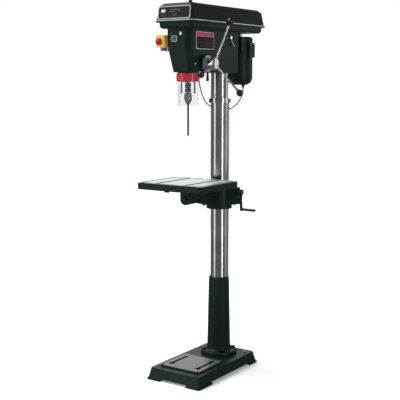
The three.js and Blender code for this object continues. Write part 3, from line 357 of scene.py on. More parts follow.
def makeLead():
    curve = bpy.data.curves.new("motorLead", "CURVE")
    curve.dimensions = "3D"
    curve.bevel_depth = lead["radius"] / 1000
    curve.bevel_resolution = 4
    curve.resolution_u = 6
    curve.use_fill_caps = True
    spline = curve.splines.new("BEZIER")
    points = [at(*point) for point in lead["route"]]
    spline.bezier_points.add(len(points) - 1)
    for knot, point in zip(spline.bezier_points, points):
        knot.co = point
        knot.handle_left_type = knot.handle_right_type = "AUTO"
    piece = bpy.data.objects.new("motorLead", curve)
    bpy.context.scene.collection.objects.link(piece)
    bpy.context.view_layer.update()
    path = []
    for first, second in zip(spline.bezier_points, spline.bezier_points[1:]):
        path += interpolate_bezier(first.co, first.handle_right, second.handle_left, second.co, 7)[:-1]
    path.append(points[-1])
    pick(piece)
    bpy.ops.object.convert(target="MESH")
    piece = bpy.context.object
    bpy.ops.object.mode_set(mode="EDIT")
    bpy.ops.mesh.select_all(action="SELECT")
    bpy.ops.mesh.remove_doubles(threshold=0.00001)
    bpy.ops.mesh.normals_make_consistent(inside=False)
    bpy.ops.object.mode_set(mode="OBJECT")
    bpy.ops.object.shade_smooth_by_angle(angle=math.radians(50))
    coat(piece, greySheath)
    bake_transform(piece)
    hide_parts("motor_lead")


gland = {"bore": 3.4, "nut": 8, "nutHeight": 6, "neck": 6.1, "mouth": 4.6, "height": 16}


def makeGlands():
    bore, nut, foot, height = gland["bore"], gland["nut"], gland["nutHeight"], gland["height"]
    outline = [(bore, 0), (nut, 0), (nut, foot), (gland["neck"], foot + 1)]
    outline += [(gland["mouth"], height), (bore, height), (bore, 0)]
    for node, (x, y), body in (
        ("lead_gland_head", lead["route"][0][:2], "frame"),
        ("lead_gland_motor", lead["route"][-1][:2], "motor"),
    ):
        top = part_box(node)[1].z * 1000
        nut = turnPiece(node.replace("_", "") + "Nut", outline, (x, y, top), (0, 0, -1), 24, 0.5)
        seat(nut, body, blackRubber, [node])


makeLead()
makeGlands()
print("lead ready")

# Base, sleeve and column

base = {"edges": 1.6, "padLevel": 61.2}
cornerBolts = {"spots": [(-104, -312, 62), (86, -316, 62), (102, 71, 54)], "washer": 8, "head": 6}


def makeBase():
    casting = dressedCopy("base", "baseCasting", base["edges"], 28, 3)
    coat(casting, castEnamel)
    coat(casting, padIron, lambda centre, normal: centre.z > base["padLevel"] / 1000 and normal.z > 0.5)
    seat(casting, "frame", nodes=["base"])
    washer, cap = cornerBolts["washer"], cornerBolts["head"]
    head = [(washer - 0.6, 0), (washer, 0.6), (washer, 1.8), (cap, 2.2), (cap, 5.6), (cap - 1.2, 6.6)]
    for i, spot in enumerate(cornerBolts["spots"]):
        bolt = turnPiece(f"cornerBolt{i + 1}", head, spot, (0, 0, 1), 24, 0.3)
        seat(bolt, "frame", groundSteel)


baseBolts = {"hexagon": 8.4, "hexagonHeight": 6, "washer": 9, "washerHeight": 1.4, "shank": 5, "standing": 8}


def makeBaseBolts():
    low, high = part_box("base_bolt_1")
    foot = low.z * 1000
    seatHeight = high.z * 1000 - baseBolts["standing"]
    hexagonRadius, height = baseBolts["hexagon"], baseBolts["hexagonHeight"]
    hexagonOutline = [(hexagonRadius, 0), (hexagonRadius, height), (hexagonRadius - 1, height + 0.5)]
    outer, inner, thick = baseBolts["washer"], baseBolts["shank"] + 0.4, baseBolts["washerHeight"]
    washerOutline = [(inner, 0), (outer, 0), (outer, thick), (inner, thick), (inner, 0)]
    shank = baseBolts["shank"]
    shankOutline = [(shank - 0.4, 0), (shank, 0.6), (shank, seatHeight - foot)]
    for i in range(4):
        node = f"base_bolt_{i + 1}"
        low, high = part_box(node)
        x = ((low.x + high.x) / 2 - columnX) * 1000
        y = ((low.y + high.y) / 2 - columnY) * 1000
        washer = turnPiece("washer", washerOutline, (x, y, seatHeight), sides=32)
        hexagon = turnPiece("hexagon", hexagonOutline, (x, y, seatHeight + thick + 0.1), sides=6, edges=0.5)
        stem = turnPiece("shank", shankOutline, (x, y, foot), sides=24)
        bolt = gather(f"sleeveBolt{i + 1}", [hexagon, washer, stem])
        seat(bolt, "frame", blackOxide, [node])


sleeve = {
    "foot": 54.3,
    "bore": 40.4,
    "flange": 85,
    "flangeHeight": 20,
    "skirt": 54.5,
    "skirtHeight": 44,
    "top": 47,
    "height": 372,
}


def makeSleeve():
    foot, top = sleeve["foot"], sleeve["foot"] + sleeve["height"]
    flange, ledge = sleeve["flange"], foot + sleeve["flangeHeight"]
    skirt, mouth, bore = sleeve["skirt"], sleeve["top"], sleeve["bore"]
    outline = [
        (bore, foot),
        (flange, foot),
        (flange, foot + 12),
        (flange - 3, ledge - 2),
        (flange - 9, ledge),
        (skirt + 8, ledge + 1),
        (skirt + 3, ledge + 6),
        (skirt, foot + sleeve["skirtHeight"]),
        (mouth + 1, top - 14),
        (mouth - 0.6, top - 9),
        (mouth, top - 6),
        (mouth, top - 1),
        (mouth - 1.5, top),
        (bore, top),
        (bore, foot),
    ]
    piece = turnPiece("columnSleeve", outline, sides=72, edges=1.2)
    seat(piece, "frame", castEnamel, ["column_sleeve"])


column = {"radius": 40, "bore": 35, "foot": 60, "top": 1500, "clipHeight": 1243}


def makeColumn():
    outer, bore, foot, top = column["radius"], column["bore"], column["foot"], column["top"]
    outline = [(bore, foot), (outer, foot), (outer, top), (bore, top), (bore, foot)]
    piece = turnPiece("groundColumn", outline, sides=96, edges=0.6)
    seat(piece, "frame", columnSteel, ["column"])
    seat(dressedCopy("rack", "toothedRack", 0.3), "rack", groundSteel, ["rack"])
    seat(dressedCopy("rack_collar", "rackCollar", 0.8), "frame", columnSteel, ["rack_collar"])
    z = column["clipHeight"]
    clip = blockPiece("rackClip", (-25, -50.4, z), (-13, -44, z + 17), 0.8)
    seat(clip, "frame", blackPhenolic)
    pad = blockPiece("collarPad", (53.6, -12, z), (56.6, -3, z + 17), 0.8)
    seat(pad, "frame", blackPhenolic)
    screw = turnPiece("collarScrew", [(4.4, 0), (4.4, 2.4), (3, 3.2)], (54.2, 5, z + 9), (1, 0, 0), 20, 0.3)
    seat(screw, "frame", groundSteel)


makeBase()
makeBaseBolts()
makeSleeve()
makeColumn()
print("base and column ready")

# Head, its trim and its plates

headTrim = {"quillScrew": (-280, 1413), "sideScrew": (-33, 1531), "chinScrews": [(-22, -300), (22, -300)]}
quillRing = {"radius": 46, "bore": 34, "height": 3.8, "top": 1377.6}


def makeHead():
    head = dressedCopy("head_casting", "headCasting", 1.8, 28, 3)
    seat(head, "frame", castEnamel, ["head_casting"])
    y, z = headTrim["quillScrew"]
    outline = [(6.4, 0), (6.4, 1.5), (5.6, 3.4), (3.6, 5), (1, 5.6)]
    dome = turnPiece("quillScrew", outline, (sideX(y, z) - 0.5, y, z), (1, 0, 0), 28, 0.2)
    seat(dome, "frame", handChrome)
    y, z = headTrim["sideScrew"]
    outline = [(4, 0), (4, 1.6), (2.8, 2.6), (0.8, 3)]
    screw = turnPiece("sideScrew", outline, (sideX(y, z) - 0.5, y, z), (1, 0, 0), 24, 0.2)
    seat(screw, "frame", handChrome)
    top = quillRing["top"]
    outline = [(3.4, 0), (3.4, 1.2), (2.2, 1.8)]
    for i, (x, y) in enumerate(headTrim["chinScrews"]):
        cap = turnPiece(f"chinScrew{i + 1}", outline, (x, y, top), (0, 0, -1), 20, 0.2)
        seat(cap, "frame", blackOxide)
    outer, bore, height = quillRing["radius"], quillRing["bore"], quillRing["height"]
    outline = [(bore, 0), (outer, 0), (outer, height - 1.2), (outer - 1.2, height), (bore, height), (bore, 0)]
    ring = turnPiece("quillRing", outline, (0, spindleY, top), (0, 0, -1), 64, 0.3)
    seat(ring, "frame", castEnamel)


sideLabel = {"y": (-284, -146), "z": (1476, 1550), "header": 0.28, "border": 2.4, "rows": 4}


def makeSideLabel():
    (y0, y1), (z0, z1) = sideLabel["y"], sideLabel["z"]
    middle = 1515
    x = max(sideX(y0 + 4, middle), sideX(y1 - 4, middle))
    split = z1 - (z1 - z0) * sideLabel["header"]
    edge = sideLabel["border"]
    border = blockPiece("labelBorder", (x - 2.5, y0, z0), (x + 0.5, y1, z1), 0.4)
    coat(border, plateLight)
    header = blockPiece("labelHeader", (x - 2, y0 + edge, split), (x + 0.9, y1 - edge, z1 - edge), 0.2)
    coat(header, plateRed)
    field = blockPiece("labelField", (x - 2, y0 + edge, z0 + edge), (x + 0.9, y1 - edge, split - 0.6), 0.2)
    coat(field, plateDark)
    pieces = [border, header, field]
    for i in range(1, sideLabel["rows"]):
        z = z0 + edge + (split - z0 - edge) * i / sideLabel["rows"]
        line = blockPiece("labelLine", (x - 1, y0 + 8, z - 0.5), (x + 1.1, y1 - 8, z + 0.5), 0.1, 1)
        coat(line, plateGrey)
        pieces.append(line)
    seat(gather("sideLabel", pieces), "frame")


frontTrim = {"y": -330, "z": 1541, "lampX": -34, "knobX": 18}


def makeFrontTrim():
    y, z, x = frontTrim["y"], frontTrim["z"], frontTrim["knobX"]
    outline = [(3, 0), (3, 1.2), (2.4, 2.6), (1, 3.2)]
    lamp = turnPiece("pilotLamp", outline, (frontTrim["lampX"], y, z), (0, -1, 0), 24, 0.2)
    seat(lamp, "frame", lampGreen)
    mark = blockPiece("startMark", (-37.4, y - 0.8, 1517.8), (-33.4, y + 0.4, 1520.2), 0.2, 1)
    seat(mark, "frame", bezelMint)
    outline = [(5.6, 0), (5.6, 1.2), (5, 2), (4.4, 5), (3.4, 6)]
    knob = turnPiece("selectorKnob", outline, (x, y, z), (0, -1, 0), 32, 0.3)
    coat(knob, housingGrey)
    grip = blockPiece("selectorGrip", (x - 1.2, y - 8, z - 8), (x + 1.2, y - 1, z + 8), 1)
    coat(grip, housingGrey)
    seat(gather("selectorKnob", [knob, grip]), "frame")


springCup = {"radius": 32, "bore": 10, "depth": 22, "face": -66.4}


def makeSpringHousing():
    outer, bore, depth = springCup["radius"], springCup["bore"], springCup["depth"]
    outline = [(bore, 0), (outer - 1, 0), (outer, 1), (outer, depth - 7), (outer - 1.5, depth - 4.5)]
    outline += [(outer - 8, depth - 3.5), (outer - 9, depth - 0.6), (bore, depth), (bore, 0)]
    cup = turnPiece("springHousing", outline, (springCup["face"], feedY, feedZ), (-1, 0, 0), 56, 0.6)
    seat(cup, "frame", castAluminium, ["spring_housing"])


makeHead()
makeSideLabel()
makeFrontTrim()
makeSpringHousing()
print("head ready")

# Belt cover

namePlate = {"x": (-84, 84), "z": (1600.5, 1655), "border": 3.4, "corner": 8}


def plateLoop(x0, x1, z0, z1, lift, corner=namePlate["corner"]):
    # a rounded panel laid on the cover's sloping front
    clearSelection()
    bpy.ops.mesh.primitive_plane_add(size=1, location=(0, 0, 0))
    panel = bpy.context.object
    panel.scale = ((x1 - x0) / 1000, (z1 - z0) / 1000, 1)
    settle(panel)
    bpy.ops.object.mode_set(mode="EDIT")
    bpy.ops.mesh.select_all(action="SELECT")
    bpy.ops.mesh.bevel(offset=corner / 1000, segments=5, affect="VERTICES")
    bpy.ops.mesh.extrude_region_move(TRANSFORM_OT_translate={"value": (0, 0, lift / 1000)})
    bpy.ops.object.mode_set(mode="OBJECT")
    low, high = (nodeHit("belt_cover_lid", at(0, -600, z), (0, 1, 0)) for z in (z0, z1))
    slope = math.atan2(high.y - low.y, high.z - low.z)
    panel.rotation_euler = (math.pi / 2 - slope, 0, 0)
    panel.location = (columnX + (x0 + x1) / 2000, (low.y + high.y) / 2, (low.z + high.z) / 2)
    settle(panel)
    bpy.ops.object.mode_set(mode="EDIT")
    bpy.ops.mesh.select_all(action="SELECT")
    bpy.ops.mesh.normals_make_consistent(inside=False)
    bpy.ops.object.mode_set(mode="OBJECT")
    bpy.ops.object.shade_smooth_by_angle(angle=math.radians(40))
    return panel


def makeNamePlate():
    (x0, x1), (z0, z1) = namePlate["x"], namePlate["z"]
    edge = namePlate["border"]
    rim = plateLoop(x0, x1, z0, z1, 0.7)
    coat(rim, brightTrim)
    field = plateLoop(x0 + edge, x1 - edge, z0 + edge, z1 - edge, 1.0)
    coat(field, plateDark)
    badge = plateLoop(x0 + 12, x0 + 42, z0 + 9, z1 - 9, 1.2, 4)
    coat(badge, plateMaroon)
    blank = plateLoop(x0 + 15, x0 + 39, z1 - 27, z1 - 13, 1.5, 6.9)  # an oval left blank
    coat(blank, plateLight)
    lines = []
    for z, low, high in ((z1 - 17, -22, 30), (z1 - 25, -24, 8), (z1 - 25, 22, 30), (z1 - 40, -6, 14)):
        line = plateLoop(low, high, z, z + 3, 1.3, 1.4)
        coat(line, plateGrey)
        lines.append(line)
    seat(gather("namePlate", [rim, field, badge, blank, *lines]), "belt_cover_lid")


cover = {"edges": 1.6, "trimTop": 1597.8}


def makeCover():
    tray = dressedCopy("belt_cover_tray", "coverTray", 1.0, 30)
    seat(tray, "frame", castEnamel, ["belt_cover_tray"])
    lid = dressedCopy("belt_cover_lid", "coverLid", cover["edges"], 14, 3)
    coat(lid, lidEnamel)
    coat(lid, brightTrim, lambda centre, normal: centre.z < cover["trimTop"] / 1000 and abs(normal.z) < 0.75)
    seat(lid, "belt_cover_lid", nodes=["belt_cover_lid"])
    low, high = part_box("lid_knob")
    outline = [(5.5, 0), (8, 1.5), (8, 5.6), (6.6, 7.4), (3, 8)]
    x, y = (low.x + high.x) / 2, (low.y + high.y) / 2
    place = ((x - columnX) * 1000, (y - columnY) * 1000, low.z * 1000)
    knob = turnPiece("lidKnob", outline, place, sides=40, edges=0.4)
    seat(knob, "belt_cover_lid", blackPhenolic, ["lid_knob"])
    pin = dressedCopy("lid_hinge_pin", "hingePin", 0.3)
    seat(pin, "frame", groundSteel, ["lid_hinge_pin"])


makeCover()
makeNamePlate()
print("belt cover ready")

# Spindle, chuck, bit and guard

spindle = {"collarTop": 1331, "top": 1642}


def makeSpindle():
    quill = dressedCopy("quill", "quillSleeve", 0.4)
    seat(quill, "quill", columnSteel, ["quill"])
    outline = [
        (8.5, 1291.2),
        (12.6, 1293),
        (14, 1297),
        (14, 1301),
        (12.8, 1305.5),
        (9.6, 1308),
        (9.6, 1310),
        (12.8, 1312.4),
        (14, 1316),
        (14, 1320.5),
        (12.8, 1325),
        (12, spindle["collarTop"]),
        (12, spindle["top"]),
    ]
    nose = turnPiece("spindleNose", outline, (0, spindleY, 0), sides=48, edges=0.5)
    coat(nose, groundSteel)
    coat(nose, blackOxide, lambda centre, normal: centre.z < spindle["collarTop"] / 1000)
    seat(nose, "spindle", nodes=["spindle"])


chuck = {"sides": 64, "sleeve": 17, "gripLow": 1262, "gripHigh": 1276.5, "knurl": 0.955}


def makeChuck():
    outline = [(4.6, 1248), (9.2, 1242.3), (15.3, 1255), (14, 1256), (14, 1283), (15.4, 1284), (15.4, 1288)]
    outline += [(12.5, 1290.7), (4.6, 1290.7), (4.6, 1248)]
    body = turnPiece("chuckBody", outline, (0, spindleY, 0), sides=48, edges=0.3)
    seat(body, "spindle", chuckSteel, ["chuck_body"])
    outer = chuck["sleeve"]
    outline = [(14.4, 1256.4), (outer - 0.8, 1256.4)]
    outline += [(outer, height) for height in (1258.4, 1263, 1268, 1276, 1280)]
    outline += [(outer - 0.8, 1282.3), (14.4, 1282.3), (14.4, 1256.4)]
    ring = turnPiece("chuckSleeve", outline, (0, spindleY, 0), sides=chuck["sides"], edges=0)
    pick(ring)
    bpy.ops.object.mode_set(mode="EDIT")
    bpy.ops.mesh.select_all(action="DESELECT")
    bpy.ops.object.mode_set(mode="OBJECT")
    centre = at(0, spindleY, 0)
    for vertex in ring.data.vertices:  # every other line of the grip band, for its knurl
        reach = Vector((vertex.co.x - centre.x, vertex.co.y - centre.y))
        turn = round(math.degrees(math.atan2(reach.y, reach.x)) * chuck["sides"] / 360)
        onBand = chuck["gripLow"] < vertex.co.z * 1000 < chuck["gripHigh"]
        vertex.select = turn % 2 == 0 and reach.length * 1000 > outer - 0.5 and onBand
    bpy.ops.object.mode_set(mode="EDIT")
    depth = chuck["knurl"]
    bpy.ops.transform.resize(value=(depth, depth, 1), center_override=(centre.x, centre.y, 1.27))
    bpy.ops.object.mode_set(mode="OBJECT")
    seat(ring, "chuck_sleeve", chuckSteel, ["chuck_sleeve"])
    jaws = dressedCopy("chuck_jaws", "chuckJaws", 0.2)
    seat(jaws, "spindle", blackOxide, ["chuck_jaws"])


bit = {"radius": 4.2, "tip": 1100, "fluteTop": 1222, "top": 1279, "pitch": 26, "step": 1.6, "point": 3.6}


def makeBit():
    clearSelection()
    radius = bit["radius"] / 1000
    bpy.ops.mesh.primitive_circle_add(vertices=28, radius=radius, fill_type="NGON", location=(0, 0, 0))
    piece = bpy.context.object
    piece.name = "twistDrill"
    for vertex in piece.data.vertices:  # two flutes across the round
        turn = math.atan2(vertex.co.y, vertex.co.x)
        vertex.co *= 1 - 0.52 * max(0.0, math.cos(2 * turn)) ** 1.5
    step = bit["step"]
    count = int((bit["fluteTop"] - bit["tip"] - 4) / step)
    twist = -2 * math.pi * step / bit["pitch"]
    bpy.ops.object.mode_set(mode="EDIT")
    bpy.ops.mesh.select_all(action="SELECT")
    for i in range(count):
        bpy.ops.mesh.extrude_region_move(TRANSFORM_OT_translate={"value": (0, 0, step / 1000)})
        bpy.ops.transform.rotate(value=twist, orient_axis="Z", center_override=(0, 0, 0))
    bpy.ops.mesh.select_all(action="DESELECT")
    bpy.ops.object.mode_set(mode="OBJECT")
    lowest = min(face.center.z for face in piece.data.polygons)
    for face in piece.data.polygons:
        face.select = len(face.vertices) > 4 and face.center.z < lowest + 1e-5
    bpy.ops.object.mode_set(mode="EDIT")
    bpy.ops.mesh.select_mode(type="FACE")
    bpy.ops.mesh.extrude_region_move(TRANSFORM_OT_translate={"value": (0, 0, -bit["point"] / 1000)})
    bpy.ops.transform.resize(value=(0.12, 0.7, 1), center_override=(0, 0, 0))
    bpy.ops.mesh.select_all(action="SELECT")
    bpy.ops.mesh.normals_make_consistent(inside=False)
    bpy.ops.object.mode_set(mode="OBJECT")
    bpy.ops.object.shade_smooth_by_angle(angle=math.radians(40))
    piece.location = at(0, spindleY, bit["tip"] + 3.8)
    settle(piece)
    top = bit["fluteTop"]
    outline = [(bit["radius"] - 0.6, top - 2), (bit["radius"], top), (bit["radius"], bit["top"])]
    shank = turnPiece("bitShank", outline, (0, spindleY, 0), sides=28, edges=0.2)
    seat(gather("twistDrill", [piece, shank]), "spindle", blackOxide, ["drill_bit"])


# each bolt: degrees from +X, height, distance from the spindle
bandBolts = [(angle, z, 49.9) for angle in (-98, 20) for z in (1364, 1347)]
guard = {"bolts": [*bandBolts, (11, 1262, 47)]}


def makeGuard():
    collar = dressedCopy("guard_collar", "guardCollar", 0.6)
    seat(collar, "quill", blackPhenolic, ["guard_collar"])
    band = dressedCopy("guard_frame", "guardBand", 0.5, 30)
    seat(band, "guard_frame", redPlastic, ["guard_frame"])
    shield = dressedCopy("guard_shield", "guardShield", 0.3)
    seat(shield, "guard_shield", clearShield, ["guard_shield"])
    for i, (angle, z, reach) in enumerate(guard["bolts"]):
        turn = math.radians(angle)
        out = Vector((math.cos(turn), math.sin(turn), 0))
        place = (reach * out.x, spindleY + reach * out.y, z)
        bolt = turnPiece(f"guardBolt{i + 1}", [(3.4, 0), (3.4, 1.4), (2.2, 2.4)], place, out, 20, 0.2)
        seat(bolt, "guard_frame", handChrome)


makeSpindle()
makeChuck()
makeBit()
makeGuard()
print("spindle and guard ready")

# Feed hub, arms and depth ring

feed = {"start": 67.6, "hubX": 112, "disc": 28.5, "armAngle": 75.5, "knobX": 160, "reach": 183, "knob": 15.5}


def makeFeed():
    start, disc = feed["start"], feed["disc"]
    outline = [(9.9, start), (23, start), (24, start + 1), (24, 101), (24.6, 103)]
    outline += [(disc - 0.9, 104), (disc, 106), (disc, 116.5), (disc - 1.5, 118.2), (disc - 6, 120)]
    outline += [(12, 120.6), (11.2, 120), (2, 120)]
    hub = turnPiece("feedHub", outline, (0, feedY, feedZ), (1, 0, 0), 72, 0.5)
    seat(hub, "feed", handChrome, ["feed_hub"])
    shaft = dressedCopy("feed_shaft", "pinionShaft", 0.3)
    seat(shaft, "feed", groundSteel, ["feed_shaft"])
    tilt = math.atan2(feed["knobX"] - feed["hubX"], feed["reach"])
    length = math.hypot(feed["knobX"] - feed["hubX"], feed["reach"])
    for i in range(3):
        turn = math.radians(feed["armAngle"] + 120 * i - 90)
        along = (math.sin(tilt), -math.sin(turn) * math.cos(tilt), math.cos(turn) * math.cos(tilt))
        place = (feed["hubX"], feedY, feedZ)
        rod = [(4, 15), (5, 16), (5, 30), (5, length - 22), (4.4, length - 14), (4.4, length - 7)]
        arm = turnPiece(f"feedArm{i + 1}", rod, place, along, 32, 0.2)
        seat(arm, "feed", handChrome, [f"feed_arm_{i + 1}"])
        ball = feed["knob"]
        neck = length - ball
        outline = [(5.3, neck - 2.8), (8, neck - 2.8), (8.4, neck - 1), (8.6, length - 12.9)]
        for step in range(1, 9):
            angle = math.radians(-52 + 140 * step / 8)
            outline.append((ball * math.cos(angle), length + ball * math.sin(angle)))
        knob = turnPiece(f"feedKnob{i + 1}", outline, place, along, 40, 0.3)
        seat(knob, "feed", blackPhenolic, [f"feed_knob_{i + 1}"])


depthRing = {"radius": 36.8, "bore": 24.4, "ticks": 40, "longTick": 5.4, "tick": 3.2}


def makeDepthRing():
    start = (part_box("depth_ring")[0].x - columnX) * 1000
    outer, bore = depthRing["radius"], depthRing["bore"]
    outline = [(bore, 0), (outer - 1.3, 0), (outer, 1.2), (outer, 7), (outer - 1.2, 7.9)]
    outline += [(30, 7.9), (29, 7), (bore, 7), (bore, 0)]
    ring = turnPiece("depthRing", outline, (start, feedY, feedZ), (1, 0, 0), 72, 0.3)
    coat(ring, castAluminium)
    pieces = [ring]
    for i in range(depthRing["ticks"]):
        angle = math.radians(360 / depthRing["ticks"] * i)
        long = depthRing["longTick"] if i % 5 == 0 else depthRing["tick"]
        low = (start + 8 - long, feedY - 0.3, feedZ + outer - 0.6)
        high = (start + 7.4, feedY + 0.3, feedZ + outer + 0.2)
        tick = blockPiece("depthTick", low, high, 0.05, 1)
        pick(tick)
        bpy.ops.object.mode_set(mode="EDIT")
        bpy.ops.mesh.select_all(action="SELECT")
        bpy.ops.transform.rotate(value=angle, orient_axis="X", center_override=at(start, feedY, feedZ))
        bpy.ops.object.mode_set(mode="OBJECT")
        coat(tick, blackOxide)
        pieces.append(tick)
    seat(gather("depthRing", pieces), "depth_ring", nodes=["depth_ring"])
    top = feedZ - outer - 0.6
    outline = [(3, 0), (4.4, 3), (5.2, 14), (6.9, 34), (6.6, 37), (5, 38.6)]
    lever = turnPiece("depthLock", outline, (start + 4, feedY, top), (0, 0, -1), 28, 0.4)
    seat(lever, "depth_lock_lever", blackPhenolic, ["depth_lock_lever"])


makeFeed()
makeDepthRing()
print("feed ready")

# Motor, drive and tension lever


def makeDrive():
    dressed = [
        ("motor", "motorCase", "motor", castEnamel, "body_paint", 1.2),
        ("motor_box", "terminalBox", "motor", castEnamel, "body_paint", 1.4),
        ("motor_shaft", "motorShaft", "motor_pulley", groundSteel, "ground_steel", 0.4),
        ("motor_pulley", "motorPulley", "motor_pulley", castAluminium, "aluminium", 0.4),
        ("idler_pulley", "idlerPulley", "idler_pulley", castAluminium, "aluminium", 0.4),
        ("spindle_pulley", "spindlePulley", "spindle_pulley", castAluminium, "aluminium", 0.4),
        ("idler_arm", "idlerArm", "idler_arm", groundSteel, "body_paint", 0.6),
        ("front_belt", "frontBelt", "frame", blackRubber, "belt_rubber", 0.5),
        ("tension_lever", "tensionLever", "tension_lever", handChrome, "chrome", 0.5),
    ]
    for node, name, body, finish, slotName, edges in dressed:
        seat(dressedCopy(node, name, edges), body, finish, [node])
    belt = dressedCopy("rear_belt", "rearBelt", 0.5)
    coat(belt, blackRubber)
    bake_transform(belt)
    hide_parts("rear_belt")


motorTrim = {"y": 175, "foot": 1325, "boxScrews": [(160, 1511), (188, 1511)], "bolt": (185, 1535)}


def makeMotorTrim():
    outline = [(37.6, 0), (38.54, 0.8), (38.54, 1.6), (28.2, 2.6), (27.26, 2.0), (20.68, 2.4), (11.28, 2.4)]
    cap = turnPiece("fanCap", outline, (0, motorTrim["y"], motorTrim["foot"]), (0, 0, -1), 56, 0.2)
    seat(cap, "motor", castEnamel)
    for i, (y, z) in enumerate(motorTrim["boxScrews"]):
        place = (sideX(y, z, "motor_box") - 0.3, y, z)
        screw = turnPiece(f"boxScrew{i + 1}", [(3, 0), (3, 1), (2, 1.8)], place, (1, 0, 0), 18, 0.2)
        seat(screw, "motor", groundSteel)
    y, z = motorTrim["bolt"]
    place = (sideX(y, z, "motor") - 1, y, z)
    bolt = turnPiece("motorBolt", [(5, 0), (5, 4), (4, 5)], place, (1, 0, 0), 6, 0.4)
    seat(bolt, "motor", blackOxide)


makeDrive()
makeMotorTrim()
print("motor and drive ready")

# Table, bracket and crank


table = {"edges": 1.0, "rim": 16, "bossX": (-22, 0), "bossY": (-402, -392), "bossZ": (863, 869)}


def makeTable():
    plate = dressedCopy("table", "workTable", table["edges"], 28)
    coat(plate, castEnamel)
    low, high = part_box("table")
    rim = table["rim"] / 1000

    def onLand(centre, normal):  # the ground lands inside the edge channel
        inside = low.x + rim < centre.x < high.x - rim and low.y + rim < centre.y < high.y - rim
        return inside and centre.z > high.z - 0.0004 and normal.z > 0.6

    coat(plate, tableIron, onLand)
    seat(plate, "table", nodes=["table"])
    corners = zip(table["bossX"], table["bossY"], table["bossZ"])
    boss = blockPiece("drainBoss", *corners, 1.6)
    seat(boss, "table", castEnamel)
    bolt = dressedCopy("tilt_bolt", "tiltBolt", 0.6)
    seat(bolt, "table_bracket", blackOxide, ["tilt_bolt"])


clampBolts = {"x": -48, "y": -34, "heights": (774, 840), "along": (-0.82, -0.57, 0)}


def makeBracket():
    bracket = dressedCopy("table_bracket", "tableBracket", 2.0, 28, 3)
    seat(bracket, "table_bracket", castEnamel, ["table_bracket"])
    lever = dressedCopy("table_lock_lever", "tableLock", 0.5)
    seat(lever, "table_lock_lever", blackPhenolic, ["table_lock_lever"])
    pinion = dressedCopy("lift_pinion", "liftPinion", 0.3)
    seat(pinion, "lift_pinion", groundSteel, ["lift_pinion"])
    worm = dressedCopy("worm_shaft", "wormShaft", 0.4)
    seat(worm, "crank", groundSteel, ["worm_shaft"])
    outline = [(7.5, 0), (7.5, 5), (6.4, 6)]
    for i, z in enumerate(clampBolts["heights"]):
        place = (clampBolts["x"], clampBolts["y"], z)
        head = turnPiece(f"clampBolt{i + 1}", outline, place, clampBolts["along"], 6, 0.5)
        seat(head, "table_bracket", blackOxide)


crank = {"hubX": 112, "grip": 6, "length": 74, "z": 754}


def makeCrank():
    arm = dressedCopy("crank_arm", "crankArm", 1.0)
    seat(arm, "crank", castEnamel, ["crank_arm"])
    start = crank["hubX"] + 15.3
    end = start + crank["length"] - 6
    radius = crank["grip"]
    outline = [(3.8, start), (radius - 1, start), (radius, start + 3), (radius, start + 8)]
    outline += [(radius + 0.7, end - 20), (radius + 0.6, end - 6), (radius - 0.6, end), (3.4, end + 1.8)]
    grip = turnPiece("crankGrip", outline, (0, 0, crank["z"]), (1, 0, 0), 36, 0.3)
    seat(grip, "crank_grip", blackPhenolic, ["crank_grip"])


makeTable()
makeBracket()
makeCrank()
print("table ready")

# Switches

switches = {"front": -340, "button": 15.4, "screws": (16, 20), "screwMiddle": 1510}


def stopMiddle():  # the stop button's middle, in millimetres
    low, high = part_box("stop_button")
    return ((low.x + high.x) / 2 - columnX) * 1000, (low.z + high.z) * 500


def makeStopSwitch():
    housing = dressedCopy("switch_housing", "switchHousing", 1.4, segments=3)
    seat(housing, "frame", housingGrey, ["switch_housing"])
    cover = dressedCopy("stop_cover", "stopCover", 2.0, segments=3)
    seat(cover, "stop_cover", switchYellow, ["stop_cover"])
    x, z = stopMiddle()
    radius = switches["button"]
    outline = [(7, -20), (7, 4), (radius - 1.8, 4.4), (radius, 6.6), (radius, 9.4)]
    outline += [(radius - 1.8, 12.6), (radius - 6, 15.2), (4, 16.3), (1, 16.5)]
    button = turnPiece("stopButton", outline, (x, switches["front"], z), (0, -1, 0), 48, 0.3)
    seat(button, "stop_button", stopRed, ["stop_button"])


bezelLine = {"halfWidth": 14.2, "halfHeight": 12.8, "line": 2.6, "shift": 1}


def makeStartSwitch():
    bezel = dressedCopy("start_bezel", "startBezel", 0.8)
    coat(bezel, castEnamel)
    low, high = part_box("start_bezel")
    x = ((low.x + high.x) / 2 - columnX) * 1000 + bezelLine["shift"]
    z = (low.z + high.z) * 500
    front = (low.y - columnY) * 1000
    wide, tall, line = bezelLine["halfWidth"], bezelLine["halfHeight"], bezelLine["line"]
    strips = [
        (-wide, -tall, wide, line - tall),
        (-wide, tall - line, wide, tall),
        (-wide, -tall, line - wide, tall),
        (wide - line, -tall, wide, tall),
    ]
    pieces = [bezel]
    for x0, z0, x1, z1 in strips:
        strip = blockPiece("bezelLine", (x + x0, front - 0.3, z + z0), (x + x1, front + 1, z + z1), 0.15, 1)
        coat(strip, bezelMint)
        pieces.append(strip)
    seat(gather("startBezel", pieces), "frame", nodes=["start_bezel"])
    start = dressedCopy("start_button", "startButton", 0.8)
    seat(start, "start_button", buttonGreen, ["start_button"])


def makeCoverScrews():
    x = stopMiddle()[0]
    outline = [(2.4, 0), (2.4, 0.6), (1.6, 1)]
    across, up = switches["screws"]
    for i, (dx, dz) in enumerate(((-1, -1), (-1, 1), (1, -1), (1, 1))):
        place = (x + dx * across, switches["front"], switches["screwMiddle"] + dz * up)
        screw = turnPiece(f"coverScrew{i + 1}", outline, place, (0, -1, 0), 18, 0.1)
        seat(screw, "stop_cover", switchYellow)


makeStopSwitch()
makeStartSwitch()
makeCoverScrews()
print("switches ready")

# Floor, lights and surroundings

studio = {"floor": 14, "around": 0.16, "sun": 2.6, "fill": 1.1, "floorGlow": 0.22}


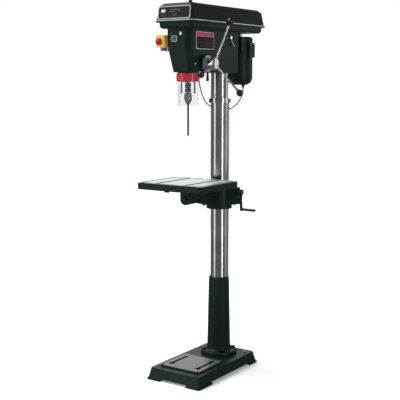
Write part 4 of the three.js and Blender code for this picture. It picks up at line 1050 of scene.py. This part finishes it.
def makeFloor():
    clearSelection()
    bpy.ops.mesh.primitive_plane_add(size=studio["floor"], location=(0, 0, -0.0008))
    floor = bpy.context.object
    floor.name = "paleFloor"
    finish = bpy.data.materials.new("paleFloor")
    finish.use_nodes = True
    paper = finish.node_tree.nodes["Principled BSDF"].inputs
    paper["Base Color"].default_value = (0.9, 0.9, 0.9, 1)
    paper["Roughness"].default_value = 0.9
    paper["Specular IOR Level"].default_value = 0.1
    paper["Emission Color"].default_value = (0.97, 1, 1, 1)
    paper["Emission Strength"].default_value = studio["floorGlow"]
    floor.data.materials.append(finish)
    floor.visible_glossy = False  # the ground column keeps its bands down to the base


def makeSurroundings():
    world = bpy.data.worlds.new("studio")
    bpy.context.scene.world = world
    world.use_nodes = True
    world.node_tree.nodes.clear()
    rays = addNode(world, "ShaderNodeLightPath")
    white = (1, 1, 1, 1)
    soft = addNode(world, "ShaderNodeBackground", values={"Color": white, "Strength": studio["around"]})
    paper = addNode(world, "ShaderNodeBackground", values={"Color": white, "Strength": 1.0})
    chosen = addNode(
        world,
        "ShaderNodeMixShader",
        links={0: (rays, "Is Camera Ray"), 1: (soft, "Background"), 2: (paper, "Background")},
    )
    addNode(world, "ShaderNodeOutputWorld", links={"Surface": (chosen, "Shader")})


def makeLight(name, kind, azimuth, distance, height, power, size=(1, 1), aim=(0, -100, 900)):
    turn = math.radians(azimuth)
    place = at(1000 * distance * math.sin(turn), -1000 * distance * math.cos(turn), height)
    bpy.ops.object.light_add(type=kind, location=place)
    light = bpy.context.object
    light.name = name
    light.rotation_euler = (at(*aim) - place).to_track_quat("-Z", "Y").to_euler()
    light.data.energy = power
    light.visible_camera = False
    if kind == "AREA":
        light.data.shape = "RECTANGLE"
        light.data.size, light.data.size_y = size
    else:
        light.data.angle = math.radians(40)
    return light


makeFloor()
makeSurroundings()
# each light: azimuth from the front, distance in metres, height in millimetres, power, size, aim
makeLight("overhead", "SUN", -75, 1.8, 5000, studio["sun"])
makeLight("frontFill", "SUN", -25, 3.2, 3400, studio["fill"])
makeLight("softLeft", "AREA", -30, 3.4, 1250, 18, (1.1, 3.4), (0, 0, 1000))
makeLight("softRight", "AREA", 76, 3.4, 1250, 30, (0.5, 3.4), (0, 0, 1000))
makeLight("softBack", "AREA", -146, 3.6, 1500, 16, (2.6, 1.6), (0, 0, 700))
makeLight("hubCard", "AREA", 147, 3.4, 1480, 6, (1.5, 1.5), (112, -211, 1415))
bpy.context.scene.view_settings.view_transform = "Standard"
print("studio ready")
